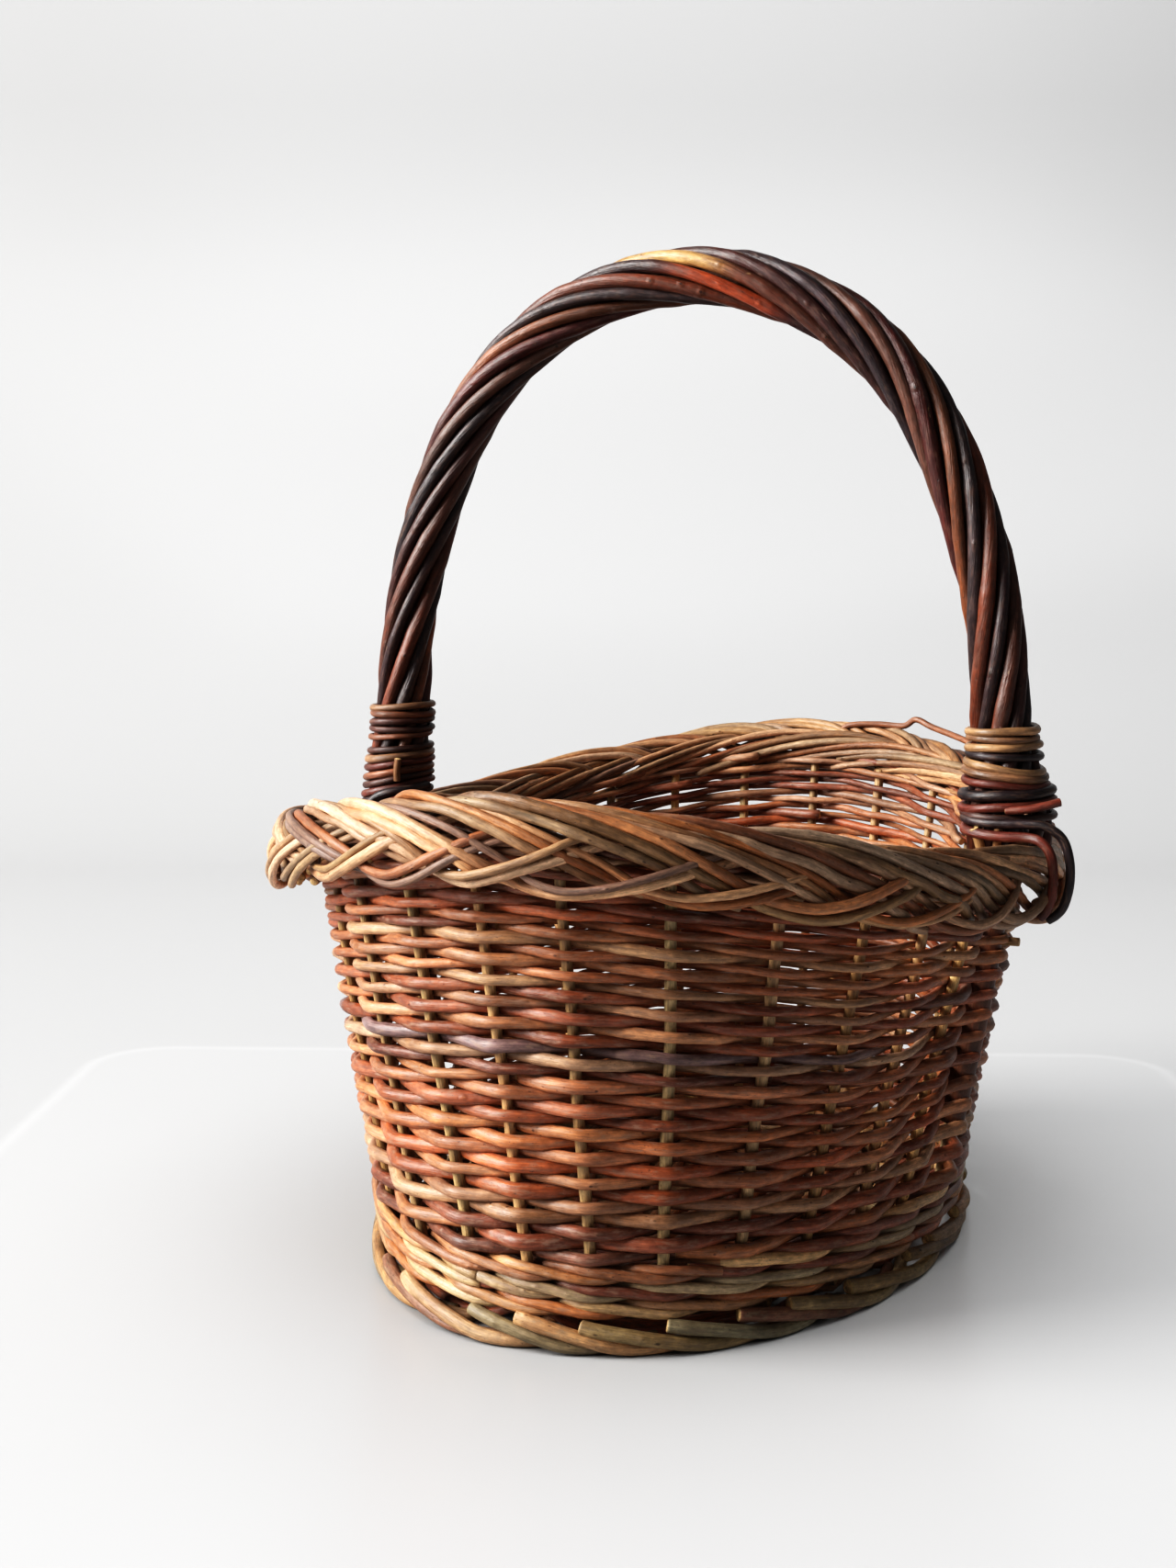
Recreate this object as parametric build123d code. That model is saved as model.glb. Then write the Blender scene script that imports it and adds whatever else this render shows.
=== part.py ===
from build123d import *
from math import cos, degrees, hypot, pi, radians, sin, tan
import os

# Oval willow market basket with a fixed, roped bow handle, in millimetres.
# Z is up from the surface it stands on, Y is the long way of the oval, and the
# handle arches over X, with its two feet at +X and -X.

# wall: an oval cone, so every upright and every flat panel points at one apex
wall_half_x = 127.7         # middle of the wall at wall_level
wall_half_y = 172.8
wall_level = 20.0
wall_flare = 0.0009         # growth of the oval per millimetre of height
weave_thickness = 9.0
wale_thickness = 11.5
wale_bottom = 14.2
wale_top = 36.4
panel_gap = 0.3             # between the wale and the weave
border_gap = 1.5            # weave's top to the border's underside

# uprights: stakes, and one bow leg at each end of X with a stake beside it
upright_count = 28
stake_radius = 2.4
stake_root_level = 16.3
stake_root_length = 32.0
stake_bend_radius = 9.0
weave_side_gap = 2.9        # upright line to a panel's edge
wale_side_gap = 3.6
drift = 10.0                # the spacing is uneven: stakes here stand off by this much
drift_centre = 290.0
drift_span = 40.0

# foot and base
foot_half_x = 135.5
foot_half_y = 180.5
foot_width = 14.5
foot_height = 13.0
foot_round = 4.0
base_half_x = 119.2
base_half_y = 164.2
base_bottom = 4.0
base_top = 19.2
stick_level = 9.0
long_stick_radius = 3.0
long_stick_spacing = 24.0
long_stick_count = 3
cross_stick_radius = 4.5
cross_stick_spacing = 36.0
cross_stick_count = 7
stick_end_cover = 4.0       # weave left past a stick's end
fit_clearance = 0.05

# border: a plait on a saddle-shaped oval, low at the handle and high at the ends
border_half_x = 156.8
border_half_y = 207.6
border_level = 185.0
border_saddle = 15.9
border_tilt = 3.2
border_section = [          # outward, up from the middle of the plait
    (-13.5, -16.7),
    (6.0, -16.7),
    (12.0, -11.0),
    (13.5, -2.0),
    (10.0, 9.0),
    (2.0, 16.2),
    (-6.0, 16.7),
    (-12.5, 9.0),
]
border_bottom = 16.7        # the section's half height and half width
border_reach = 13.5

# handle: a three-centred arch, straight legs, then a bend down into the wall
bow_radius = 6.1
bow_top = 429.0             # middle of the bow at the crown
crown_radius = 127.8
crown_half_angle = 62.15
haunch_radius = 272.9
haunch_end_angle = 85.2
leg_bend_level = 178.0
wall_entry_level = 150.0
leg_end_level = 62.0
leg_bend_radius = 25.0
leg_side_gap = 6.6
beside_leg = 9.2            # leg to the stake beside it, low in the wall
beside_spread = 1.15        # how far the two have parted at the border

# roping rods laid in a helix on the bow
roping_count = 9
roping_radius = 3.0
roping_reach = 9.6
roping_pitch = 240.0
roping_step = 15.0
roping_end_level = 187.5

# bindings at the handle's feet
wrap_inner = 12.8
wrap_root = 14.2
wrap_outer = 16.4
wrap_height = 46.0
wrap_turns = 10
tail_radius = 2.2
tail_start_side = 19.0
tail_spacing = 5.0
tail_count = 2
tail_gap = 1.7              # clear of the border
tail_bend_radius = 6.0
peg_radius = 1.9
peg_length = 24.0
peg_level = 138.0


def write(shape, node):
    export_step(shape, f"parts/{node}.step")


# ---- the wall's oval -------------------------------------------------------

def oval_speed(angle):
    """Length along the oval per radian of its angle."""
    return hypot(wall_half_x * sin(angle), wall_half_y * cos(angle))


def upright_angles():
    """Angles of the uprights, evenly along the oval from +X, then drifted."""
    steps = 3600
    step = 2 * pi / steps
    lengths = [0.0]
    for k in range(steps):
        lengths.append(lengths[-1] + oval_speed((k + 0.5) * step) * step)
    angles = []
    k = 0
    for n in range(upright_count):
        goal = lengths[-1] * n / upright_count
        while lengths[k + 1] < goal:
            k += 1
        angle = (k + (goal - lengths[k]) / (lengths[k + 1] - lengths[k])) * step
        offset = (degrees(angle) - drift_centre) / drift_span
        if abs(offset) < 1:
            angle -= drift / oval_speed(angle) * cos(offset * pi / 2) ** 2
        angles.append(angle)
    return angles


def wall_point(angle, z):
    """Middle of the wall at an angle and a height."""
    size = 1 + wall_flare * (z - wall_level)
    return Vector(wall_half_x * size * cos(angle), wall_half_y * size * sin(angle), z)


def oval_normal(half_x, half_y, angle):
    """Level outward direction of an oval."""
    return Vector(cos(angle) / half_x, sin(angle) / half_y, 0).normalized()


def border_middle(angle):
    z = border_level - border_saddle * cos(2 * angle) - border_tilt * sin(angle)
    return Vector(border_half_x * cos(angle), border_half_y * sin(angle), z)


def weave_top(angle):
    return border_middle(angle).Z - border_bottom - border_gap


def wall_panel(start, end, start_gap, end_gap, bottom, start_top, end_top, thickness):
    """Flat panel of weave between two uprights, from one height to another."""
    start_low = wall_point(start, bottom)
    end_low = wall_point(end, bottom)
    start_line = wall_point(start, wall_entry_level) - start_low
    end_line = wall_point(end, wall_entry_level) - end_low
    across = end_low - start_low
    start_in = (across - start_line * (across.dot(start_line) / start_line.dot(start_line))).normalized()
    end_in = (end_line * (across.dot(end_line) / end_line.dot(end_line)) - across).normalized()
    corners = []
    for low, line, inward, gap, z in (
        (start_low, start_line, start_in, start_gap, bottom),
        (end_low, end_line, end_in, end_gap, bottom),
        (end_low, end_line, end_in, end_gap, end_top),
        (start_low, start_line, start_in, start_gap, start_top),
    ):
        corner = low + inward * gap
        corners.append(corner + line * ((z - corner.Z) / line.Z))
    face = Face(Wire.make_polygon(corners))
    return extrude(face, amount=thickness / 2, dir=across.cross(start_line).normalized(), both=True)


# ---- base and foot ---------------------------------------------------------

def rod(start, end, radius):
    """Round straight rod between two points."""
    along = end - start
    return Solid.make_cylinder(radius, along.length, Plane(origin=start, z_dir=along))


def stick_positions(count, spacing):
    return [(n - (count - 1) / 2) * spacing for n in range(count)]


def stick_half_length(half_along, half_across, offset):
    """Half a stick's length, kept inside the base's oval."""
    return half_along * (1 - (offset / half_across) ** 2) ** 0.5 - stick_end_cover


def long_stick(x, radius):
    reach = stick_half_length(base_half_y, base_half_x, x)
    return rod(Vector(x, -reach, stick_level), Vector(x, reach, stick_level), radius)


def cross_stick(y, radius):
    reach = stick_half_length(base_half_x, base_half_y, y)
    return rod(Vector(-reach, y, stick_level), Vector(reach, y, stick_level), radius)


def stake_path(angle):
    """From inside the base, out to the wall, then straight up the wall."""
    foot = wall_point(angle, stake_root_level)
    root = foot - oval_normal(wall_half_x, wall_half_y, angle) * stake_root_length
    return root, foot, wall_point(angle, weave_top(angle))


def stake(angle):
    path = FilletPolyline(*stake_path(angle), radius=stake_bend_radius)
    start = Plane(origin=path @ 0, z_dir=path % 0)
    return sweep(start * Circle(stake_radius), path=path)


def foot_ring():
    outline = Ellipse(foot_half_x, foot_half_y) - Ellipse(foot_half_x - foot_width, foot_half_y - foot_width)
    ring = extrude(outline, foot_height)
    return fillet(ring.edges(), foot_round)


def base_plate(angles):
    plate = Pos(0, 0, base_bottom) * extrude(Ellipse(base_half_x, base_half_y), base_top - base_bottom)
    for x in stick_positions(long_stick_count, long_stick_spacing):
        plate -= long_stick(x, long_stick_radius + fit_clearance)
    for y in stick_positions(cross_stick_count, cross_stick_spacing):
        plate -= cross_stick(y, cross_stick_radius + fit_clearance)
    for angle in angles:
        root, foot, _ = stake_path(angle)
        plate -= rod(root, foot, stake_radius + fit_clearance)
    return plate


# ---- border ----------------------------------------------------------------

def border_wire(angle):
    """The plait's outline, square to the oval at an angle."""
    middle = border_middle(angle)
    outward = oval_normal(border_half_x, border_half_y, angle)
    return Wire.make_polygon([middle + outward * u + Vector(0, 0, v) for u, v in border_section])


# ---- handle ----------------------------------------------------------------

crown_turn = radians(crown_half_angle)
haunch_turn = radians(haunch_end_angle)
crown_middle = bow_top - crown_radius
haunch_x = (crown_radius - haunch_radius) * sin(crown_turn)
haunch_z = crown_middle + (crown_radius - haunch_radius) * cos(crown_turn)
crown_length = crown_radius * crown_turn
haunch_length = haunch_radius * (haunch_turn - crown_turn)
leg_x = haunch_x + haunch_radius * sin(haunch_turn)
leg_z = haunch_z + haunch_radius * cos(haunch_turn)


def leg_at(z):
    """Middle of the right leg at a height, above its bend."""
    return leg_x + (leg_z - z) / tan(haunch_turn)


def bow_point(s):
    """Middle of the bow and its outward direction, a length s along it from the crown."""
    side = 1 if s >= 0 else -1
    length = abs(s)
    if length <= crown_length:
        turn = length / crown_radius
        x = crown_radius * sin(turn)
        z = crown_middle + crown_radius * cos(turn)
    elif length <= crown_length + haunch_length:
        turn = crown_turn + (length - crown_length) / haunch_radius
        x = haunch_x + haunch_radius * sin(turn)
        z = haunch_z + haunch_radius * cos(turn)
    else:
        turn = haunch_turn
        down = length - crown_length - haunch_length
        x = leg_x + down * cos(turn)
        z = leg_z - down * sin(turn)
    return Vector(side * x, 0, z), Vector(side * sin(turn), 0, cos(turn))


def bow():
    """One thick rod: arch, legs, and ends pushed down the wall."""
    entry = wall_point(0, wall_entry_level)
    end = wall_point(0, leg_end_level)
    with BuildLine(Plane.XZ) as path:
        CenterArc((0, crown_middle), crown_radius, 90 - crown_half_angle, 2 * crown_half_angle)
        for side in (1, -1):
            start_angle = 90 - side * haunch_end_angle
            sweep_angle = side * (haunch_end_angle - crown_half_angle)
            CenterArc((side * haunch_x, haunch_z), haunch_radius, start_angle, sweep_angle)
            FilletPolyline(
                (side * leg_x, leg_z),
                (side * leg_at(leg_bend_level), leg_bend_level),
                (side * entry.X, entry.Z),
                (side * end.X, end.Z),
                radius=leg_bend_radius,
            )
    wire = path.wire()
    start = Plane(origin=wire @ 0, z_dir=wire % 0)
    return sweep(start * Circle(bow_radius), path=wire)


def roping_rod(number):
    """Rod number n of the roping: a helix round the bow, as short tangent arcs."""
    reach = crown_length + haunch_length + (leg_z - roping_end_level) / sin(haunch_turn)
    runs = int(2 * reach / roping_step)
    points = []
    for k in range(runs + 1):
        s = -reach + 2 * reach * k / runs
        middle, outward = bow_point(s)
        turn = 2 * pi * (s / roping_pitch + number / roping_count)
        offset = outward * cos(turn) + Vector(0, -1, 0) * sin(turn)
        points.append(middle + offset * roping_reach)
    radii = []
    for before, here, after in zip(points, points[1:], points[2:]):
        bend = radians((here - before).get_angle(after - here))
        radii.append(0.45 * roping_step / tan(bend / 2))
    path = FilletPolyline(*points, radius=radii)
    start = Plane(origin=path @ 0, z_dir=path % 0)
    return sweep(start * Circle(roping_radius), path=path)


def wrap(side):
    """Binding round a leg: one sleeve with a rounded rib for each turn."""
    turn = wrap_height / wrap_turns
    with BuildSketch(Plane.XZ) as profile:
        with BuildLine():
            Polyline((wrap_root, 0), (wrap_inner, 0), (wrap_inner, wrap_height), (wrap_root, wrap_height))
            for n in range(wrap_turns):
                ThreePointArc(
                    (wrap_root, n * turn),
                    (wrap_outer, (n + 0.5) * turn),
                    (wrap_root, (n + 1) * turn),
                )
        make_face()
    sleeve = revolve(profile.sketch, Axis.Z)
    foot = Vector(side * leg_at(roping_end_level), 0, roping_end_level + 1)
    up = Vector(-side * cos(haunch_turn), 0, sin(haunch_turn))
    return Plane(origin=foot, z_dir=up) * sleeve


def tail(side, number):
    """End of the binding: past the leg, over the border, down and under it."""
    middle = border_middle(0)
    y = -tail_start_side - number * tail_spacing
    over = middle.Z + border_bottom + tail_radius + tail_gap
    out = middle.X + border_reach + tail_radius + tail_gap
    under = middle.Z - border_bottom - tail_radius - tail_gap
    route = [
        (leg_at(over) - 19, y + 3, over + 1),
        (leg_at(over) - 3, y, over + 1),
        (middle.X + 9, y + 1, over),
        (out, y, middle.Z + 3),
        (out - 1, y - 1, middle.Z - 12),
        (middle.X + 2, y - 2, under),
    ]
    path = FilletPolyline(*[(side * x, y, z) for x, y, z in route], radius=tail_bend_radius)
    start = Plane(origin=path @ 0, z_dir=path % 0)
    return sweep(start * Circle(tail_radius), path=path)


def peg(side, radius):
    """Peg driven straight through the wall and the bow's leg."""
    middle = wall_point(0, peg_level).X
    start = Vector(side * (middle - peg_length / 2), 0, peg_level)
    end = Vector(side * (middle + peg_length / 2), 0, peg_level)
    return rod(start, end, radius)


# ---- make every node -------------------------------------------------------

angles = upright_angles()
leg_numbers = (0, upright_count // 2)
stake_angles = []
for n, angle in enumerate(angles):
    beside = beside_leg / oval_speed(angle) if n in leg_numbers else 0
    stake_angles.append(angle + beside)

for n, x in enumerate(stick_positions(long_stick_count, long_stick_spacing)):
    write(long_stick(x, long_stick_radius), f"base_long_stick_{n + 1}")

for n, y in enumerate(stick_positions(cross_stick_count, cross_stick_spacing)):
    stick = cross_stick(y, cross_stick_radius)
    for x in stick_positions(long_stick_count, long_stick_spacing):
        stick -= long_stick(x, long_stick_radius + fit_clearance)
    write(stick, f"base_cross_stick_{n + 1}")

write(base_plate(stake_angles), "base_weave")
write(foot_ring(), "foot_border")
write(Compound(children=[stake(angle) for angle in stake_angles]), "side_stakes")

wale = []
weave = []
for n, start in enumerate(angles):
    after = (n + 1) % upright_count
    end = angles[after]
    weave_gaps = [weave_side_gap, weave_side_gap]
    wale_gaps = [wale_side_gap, wale_side_gap]
    if n in leg_numbers:
        weave_gaps[0] = beside_leg * beside_spread + weave_side_gap
        wale_gaps[0] = beside_leg + wale_side_gap
    if after in leg_numbers:
        weave_gaps[1] = leg_side_gap
    wale.append(wall_panel(start, end, *wale_gaps, wale_bottom, wale_top, wale_top, wale_thickness))
    bottom = wale_top + panel_gap
    weave.append(
        wall_panel(start, end, *weave_gaps, bottom, weave_top(start), weave_top(end), weave_thickness)
    )
write(Compound(children=wale), "upsett_wale")
write(Compound(children=weave), "side_weave")

handle_bow = bow()
for side in (1, -1):
    handle_bow -= peg(side, peg_radius + fit_clearance)
write(handle_bow, "handle_bow")

bow_room = bow_radius + panel_gap
border = []
for n, start in enumerate(angles):
    middle = (start + angles[n - 1] - (2 * pi if n == 0 else 0)) / 2
    after = angles[(n + 1) % upright_count] + (2 * pi if n == upright_count - 1 else 0)
    piece = Solid.make_loft([border_wire(middle), border_wire((start + after) / 2)], ruled=True)
    if n in leg_numbers:
        side = 1 if n == 0 else -1
        low = Vector(side * wall_point(0, wall_entry_level).X, 0, wall_entry_level)
        bend = Vector(side * leg_at(leg_bend_level), 0, leg_bend_level)
        high = Vector(side * leg_at(roping_end_level), 0, roping_end_level)
        piece -= rod(low, bend, bow_room)
        piece -= rod(bend, high, bow_room)
        piece -= Pos(*bend) * Sphere(bow_room)
    border.append(piece)
write(Compound(children=border), "border_plait")

for n in range(roping_count):
    write(roping_rod(n), f"handle_rod_{n + 1}")

for side, name in ((1, "right"), (-1, "left")):
    write(wrap(side), f"handle_wrap_{name}")
    write(peg(side, peg_radius), f"handle_peg_{name}")
    for n in range(tail_count):
        write(tail(side, n), f"handle_tail_{name}_{n + 1}")
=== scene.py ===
import math

import bpy
import numpy as np
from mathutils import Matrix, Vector


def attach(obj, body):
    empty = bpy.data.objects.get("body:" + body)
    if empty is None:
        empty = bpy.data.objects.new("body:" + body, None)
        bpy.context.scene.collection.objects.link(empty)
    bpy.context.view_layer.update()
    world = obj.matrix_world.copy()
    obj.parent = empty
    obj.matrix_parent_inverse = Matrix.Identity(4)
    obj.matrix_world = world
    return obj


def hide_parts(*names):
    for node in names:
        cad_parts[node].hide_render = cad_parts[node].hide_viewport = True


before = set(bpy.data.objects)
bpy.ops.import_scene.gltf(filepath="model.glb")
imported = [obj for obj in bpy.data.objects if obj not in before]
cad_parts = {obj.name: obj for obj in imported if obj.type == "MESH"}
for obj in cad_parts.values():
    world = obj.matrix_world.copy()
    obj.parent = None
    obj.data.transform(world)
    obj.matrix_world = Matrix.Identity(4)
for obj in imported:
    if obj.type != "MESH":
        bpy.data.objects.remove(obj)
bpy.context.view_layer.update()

# Willow market basket: every stake, weaver, wale rod, border rod, roping rod and binding is its own
# tapered rod. Metres, Z up, Y along the oval, and the handle arches over X.

mm = 0.001
root = "root"

# The wall is an oval cone. Low down it is a little narrower across, and its uprights draw together
# toward the near end; high up it swells a little at the right.
wall = {
    "halfX": 127.7 * mm,
    "halfY": 172.8 * mm,
    "level": 20 * mm,  # the height at which it has these half axes
    "flare": 0.9,  # share that it grows by per metre of height
    "uprights": 28,
    "inset": 1.2 * mm,
    "drift": 10 * mm,  # the most that an upright strays from even spacing
    "driftCentre": 290,
    "driftSpan": 40,
    "besideLeg": 9.2 * mm,  # from a leg of the bow to the stake beside it
    "gather": 0.2,
    "gatherPlace": math.radians(-63),
    "gatherTop": 185 * mm,
    "nip": 0.06,
    "nipLevel": 130 * mm,
    "swell": 0.022,
    "swellLevel": 90 * mm,
    "swellHeight": 90 * mm,
}

# The border's middle runs on a saddle: low at the handle's feet, high at the two ends.
rim = {
    "halfX": 156.8 * mm,
    "halfY": 207.6 * mm,
    "level": 185 * mm,
    "saddle": 15.9 * mm,
    "tilt": 3.2 * mm,  # the near end is this much higher, and the far one lower
    "underside": 16.7 * mm,
}

# The bow is a three-centred arch with straight legs that spread a little towards their feet.
arch = {
    "top": 429 * mm,
    "crownRadius": 127.8 * mm,
    "crownTurn": math.radians(62.15),
    "haunchRadius": 272.9 * mm,
    "haunchTurn": math.radians(85.2),
}


def linear(colour):
    # Screen colour, 0 to 255, to linear light: power 2.2.
    return (np.asarray(colour, float) / 255) ** 2.2


def unit(v):
    # The vectors on the last axis, made one long.
    return v / np.maximum(np.linalg.norm(v, axis=-1, keepdims=True), 1e-12)


def smooth(x):
    # 0 below 0, 1 above 1, and 3x^2 - 2x^3 between.
    x = np.clip(x, 0, 1)
    return x * x * (3 - 2 * x)


def wave(rng, shape, count, low, high):
    # Smooth noise along the last axis: a sum of sines of random phase, from -1 to 1.
    u = np.linspace(0, 1, shape[-1])
    total = np.zeros(shape)
    for _ in range(count):
        turns = rng.uniform(low, high, shape[:-1] + (1,))
        phase = rng.uniform(0, 2 * np.pi, shape[:-1] + (1,))
        total += np.sin(2 * np.pi * turns * u + phase)
    return total / count


def through(points, count):
    # Curve through given points: the cubic of Catmull and Rom, points on axis 0, sampled evenly.
    p = np.asarray(points, float)
    p = np.concatenate([2 * p[:1] - p[1:2], p, 2 * p[-1:] - p[-2:-1]])
    where = np.linspace(0, len(p) - 3, count)
    k = np.minimum(where.astype(int), len(p) - 4)
    f = (where - k).reshape((-1,) + (1,) * (p.ndim - 1))
    a, b, c, d = p[k], p[k + 1], p[k + 2], p[k + 3]
    return 0.5 * (2 * b + (c - a) * f + (2 * a - 5 * b + 4 * c - d) * f**2 + (3 * b - a - 3 * c + d) * f**3)


def lengths(centre):
    # Length along each rod, from its first point.
    step = np.linalg.norm(np.diff(centre, axis=1), axis=-1)
    return np.concatenate([np.zeros((len(centre), 1)), np.cumsum(step, axis=1)], axis=1)


rod = {
    "cutWood": (205, 172, 122),
    "bevel": 0.12,  # of the radius, at a cut end
    "face": 0.8,
    "oval": 0.035,
    "lobes": 0.025,
    "lobeTurns": 60,
    "grainScale": 100,
}
cutWood = linear(rod["cutWood"])
# How strongly a rod's light and dark stretches act on its red, green and blue.
warmTint = np.array([0.75, 1.0, 1.15])
calmTint = np.array([0.8, 1.0, 1.1])


def rodMesh(name, centre, outward, radius, bark, sides, seed):
    # Tubes along paths: centre + radius * (cos a * outward + sin a * sideways), a little out of
    # round, each closed by a bevelled cut end. Arrays are rods by points, and one direction may
    # serve as outward for them all.
    rng = np.random.default_rng(seed)
    rods, points = radius.shape
    along = unit(np.gradient(centre, axis=1))
    out = unit(outward - (outward * along).sum(-1, keepdims=True) * along)
    side = np.cross(along, out)
    length = lengths(centre)
    bevel, face = rod["bevel"], rod["face"]
    first = centre[:, :1] - along[:, :1] * radius[:, :1, None] * bevel
    last = centre[:, -1:] + along[:, -1:] * radius[:, -1:, None] * bevel
    mid = np.concatenate([first, centre, last], axis=1)
    out = np.concatenate([out[:, :1], out, out[:, -1:]], axis=1)
    side = np.concatenate([side[:, :1], side, side[:, -1:]], axis=1)
    size = np.concatenate([radius[:, :1] * face, radius, radius[:, -1:] * face], axis=1)
    length = np.concatenate([length[:, :1], length, length[:, -1:]], axis=1)
    turn = np.arange(sides) * 2 * np.pi / sides
    phase = rng.uniform(0, 2 * np.pi, (rods, 1, 1))
    twist = 3 * turn - phase + length[..., None] * rod["lobeTurns"]
    size = size[..., None] * (1 + rod["oval"] * np.cos(2 * turn + phase) + rod["lobes"] * np.cos(twist))
    ring = mid[:, :, None] + size[..., None] * (
        np.cos(turn)[:, None] * out[:, :, None] + np.sin(turn)[:, None] * side[:, :, None]
    )
    rings = points + 2
    offset = rng.uniform(0, 900, (rods, 1, 1))
    lengthwise = length[..., None] * rod["grainScale"] + offset
    grain = np.stack(np.broadcast_arrays(np.cos(turn)[None, None], np.sin(turn)[None, None], lengthwise), -1)
    colour = np.broadcast_to(bark if bark.ndim == 3 else bark[:, None], (rods, points, 3))
    cut = np.broadcast_to(cutWood * rng.uniform(0.75, 1.1, (rods, 1, 1)), (rods, 1, 3))
    colour = np.concatenate([cut, colour, cut], axis=1)
    mask = np.zeros((rods, rings, 1))
    mask[:, [0, -1]] = 1
    colour = np.concatenate([colour, mask], axis=-1)
    colour = np.broadcast_to(colour[:, :, None], (rods, rings, sides, 4))

    def gather(body, width):
        # A pole, the rings and a pole, for every rod.
        poles = body[:, [0, -1]].mean(axis=2)
        flat = body.reshape(rods, -1, width)
        return np.concatenate([poles[:, :1], flat, poles[:, 1:]], axis=1).reshape(-1, width)

    co = gather(ring, 3)
    k = np.arange(sides)
    after = (k + 1) % sides
    j = np.arange(rings - 1)[:, None] * sides + 1
    quads = np.stack([j + k, j + after, j + sides + after, j + sides + k], -1).reshape(-1, 4)
    end = (rings - 1) * sides + 1
    each = rings * sides + 2
    fanA = np.stack([0 * k, 1 + after, 1 + k], -1)
    fanB = np.stack([end + k, end + after, 0 * k + each - 1], -1)
    base = (np.arange(rods) * each)[:, None]
    loops = np.concatenate([
        (quads.reshape(1, -1) + base).ravel(),
        (np.concatenate([fanA, fanB]).reshape(1, -1) + base).ravel(),
    ])
    quadCount = len(quads) * rods
    triCount = 2 * sides * rods
    starts = np.concatenate([np.arange(quadCount) * 4, quadCount * 4 + np.arange(triCount) * 3])
    mesh = bpy.data.meshes.new(name)
    mesh.vertices.add(len(co))
    mesh.vertices.foreach_set("co", co.astype(np.float32).ravel())
    mesh.loops.add(len(loops))
    mesh.loops.foreach_set("vertex_index", loops.astype(np.int32))
    mesh.polygons.add(len(starts))
    mesh.polygons.foreach_set("loop_start", starts.astype(np.int32))
    mesh.update(calc_edges=True)
    barkData = mesh.attributes.new("bark", "FLOAT_COLOR", "POINT")
    barkData.data.foreach_set("color", gather(colour, 4).astype(np.float32).ravel())
    grainData = mesh.attributes.new("grain", "FLOAT_VECTOR", "POINT")
    grainData.data.foreach_set("vector", gather(grain, 3).astype(np.float32).ravel())
    mesh.shade_smooth()
    return mesh


def placeRods(name, centre, outward, radius, bark, sides, seed, material, slot, *nodes):
    # Makes the rods of a piece, gives it its finish, and lets it ride and stand for its CAD nodes.
    mesh = rodMesh(name, centre, outward, radius, bark, sides, seed)
    mesh.materials.append(material)
    piece = bpy.data.objects.new(name, mesh)
    bpy.context.scene.collection.objects.link(piece)
    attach(piece, root)
    if nodes:
        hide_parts(*nodes)


def pick(rng, palette, weights, count, spread=0.1):
    # A bark colour for each rod: a draw from the palette, a little lighter or darker and warmer.
    weights = np.asarray(weights, float)
    chosen = rng.choice(len(palette), count, p=weights / weights.sum())
    colour = linear(palette)[chosen]
    light = np.exp(rng.normal(0, spread, (count, 1)))
    warm = 1 + rng.normal(0, 0.05, (count, 1)) * np.array([1, 0, -1.5])
    return colour * light * warm


def knots(rng, centre, radius, every, height):
    # Swellings where side buds grew: bumps exp(-(d/w)^2) on the radius, every so often along.
    length = lengths(centre)
    rods = len(length)
    table = rng.uniform(-0.35, 0.35, (rods, 64))
    spacing = every * rng.uniform(0.7, 1.3, (rods, 1))
    index = np.rint(length / spacing).astype(int)
    bump = (index + np.take_along_axis(table, index % 64, 1)) * spacing
    width = 1.2 * radius + 0.6 * mm
    return radius * (1 + height * np.exp(-((length - bump) / width) ** 2))


def mottle(rng, bark, shape, amount, low, high, tint):
    # Each rod's colour made lighter and darker along it: times 1 + amount * wave * tint.
    return bark[:, None] * (1 + amount * wave(rng, shape, 3, low, high)[..., None] * tint)


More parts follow.
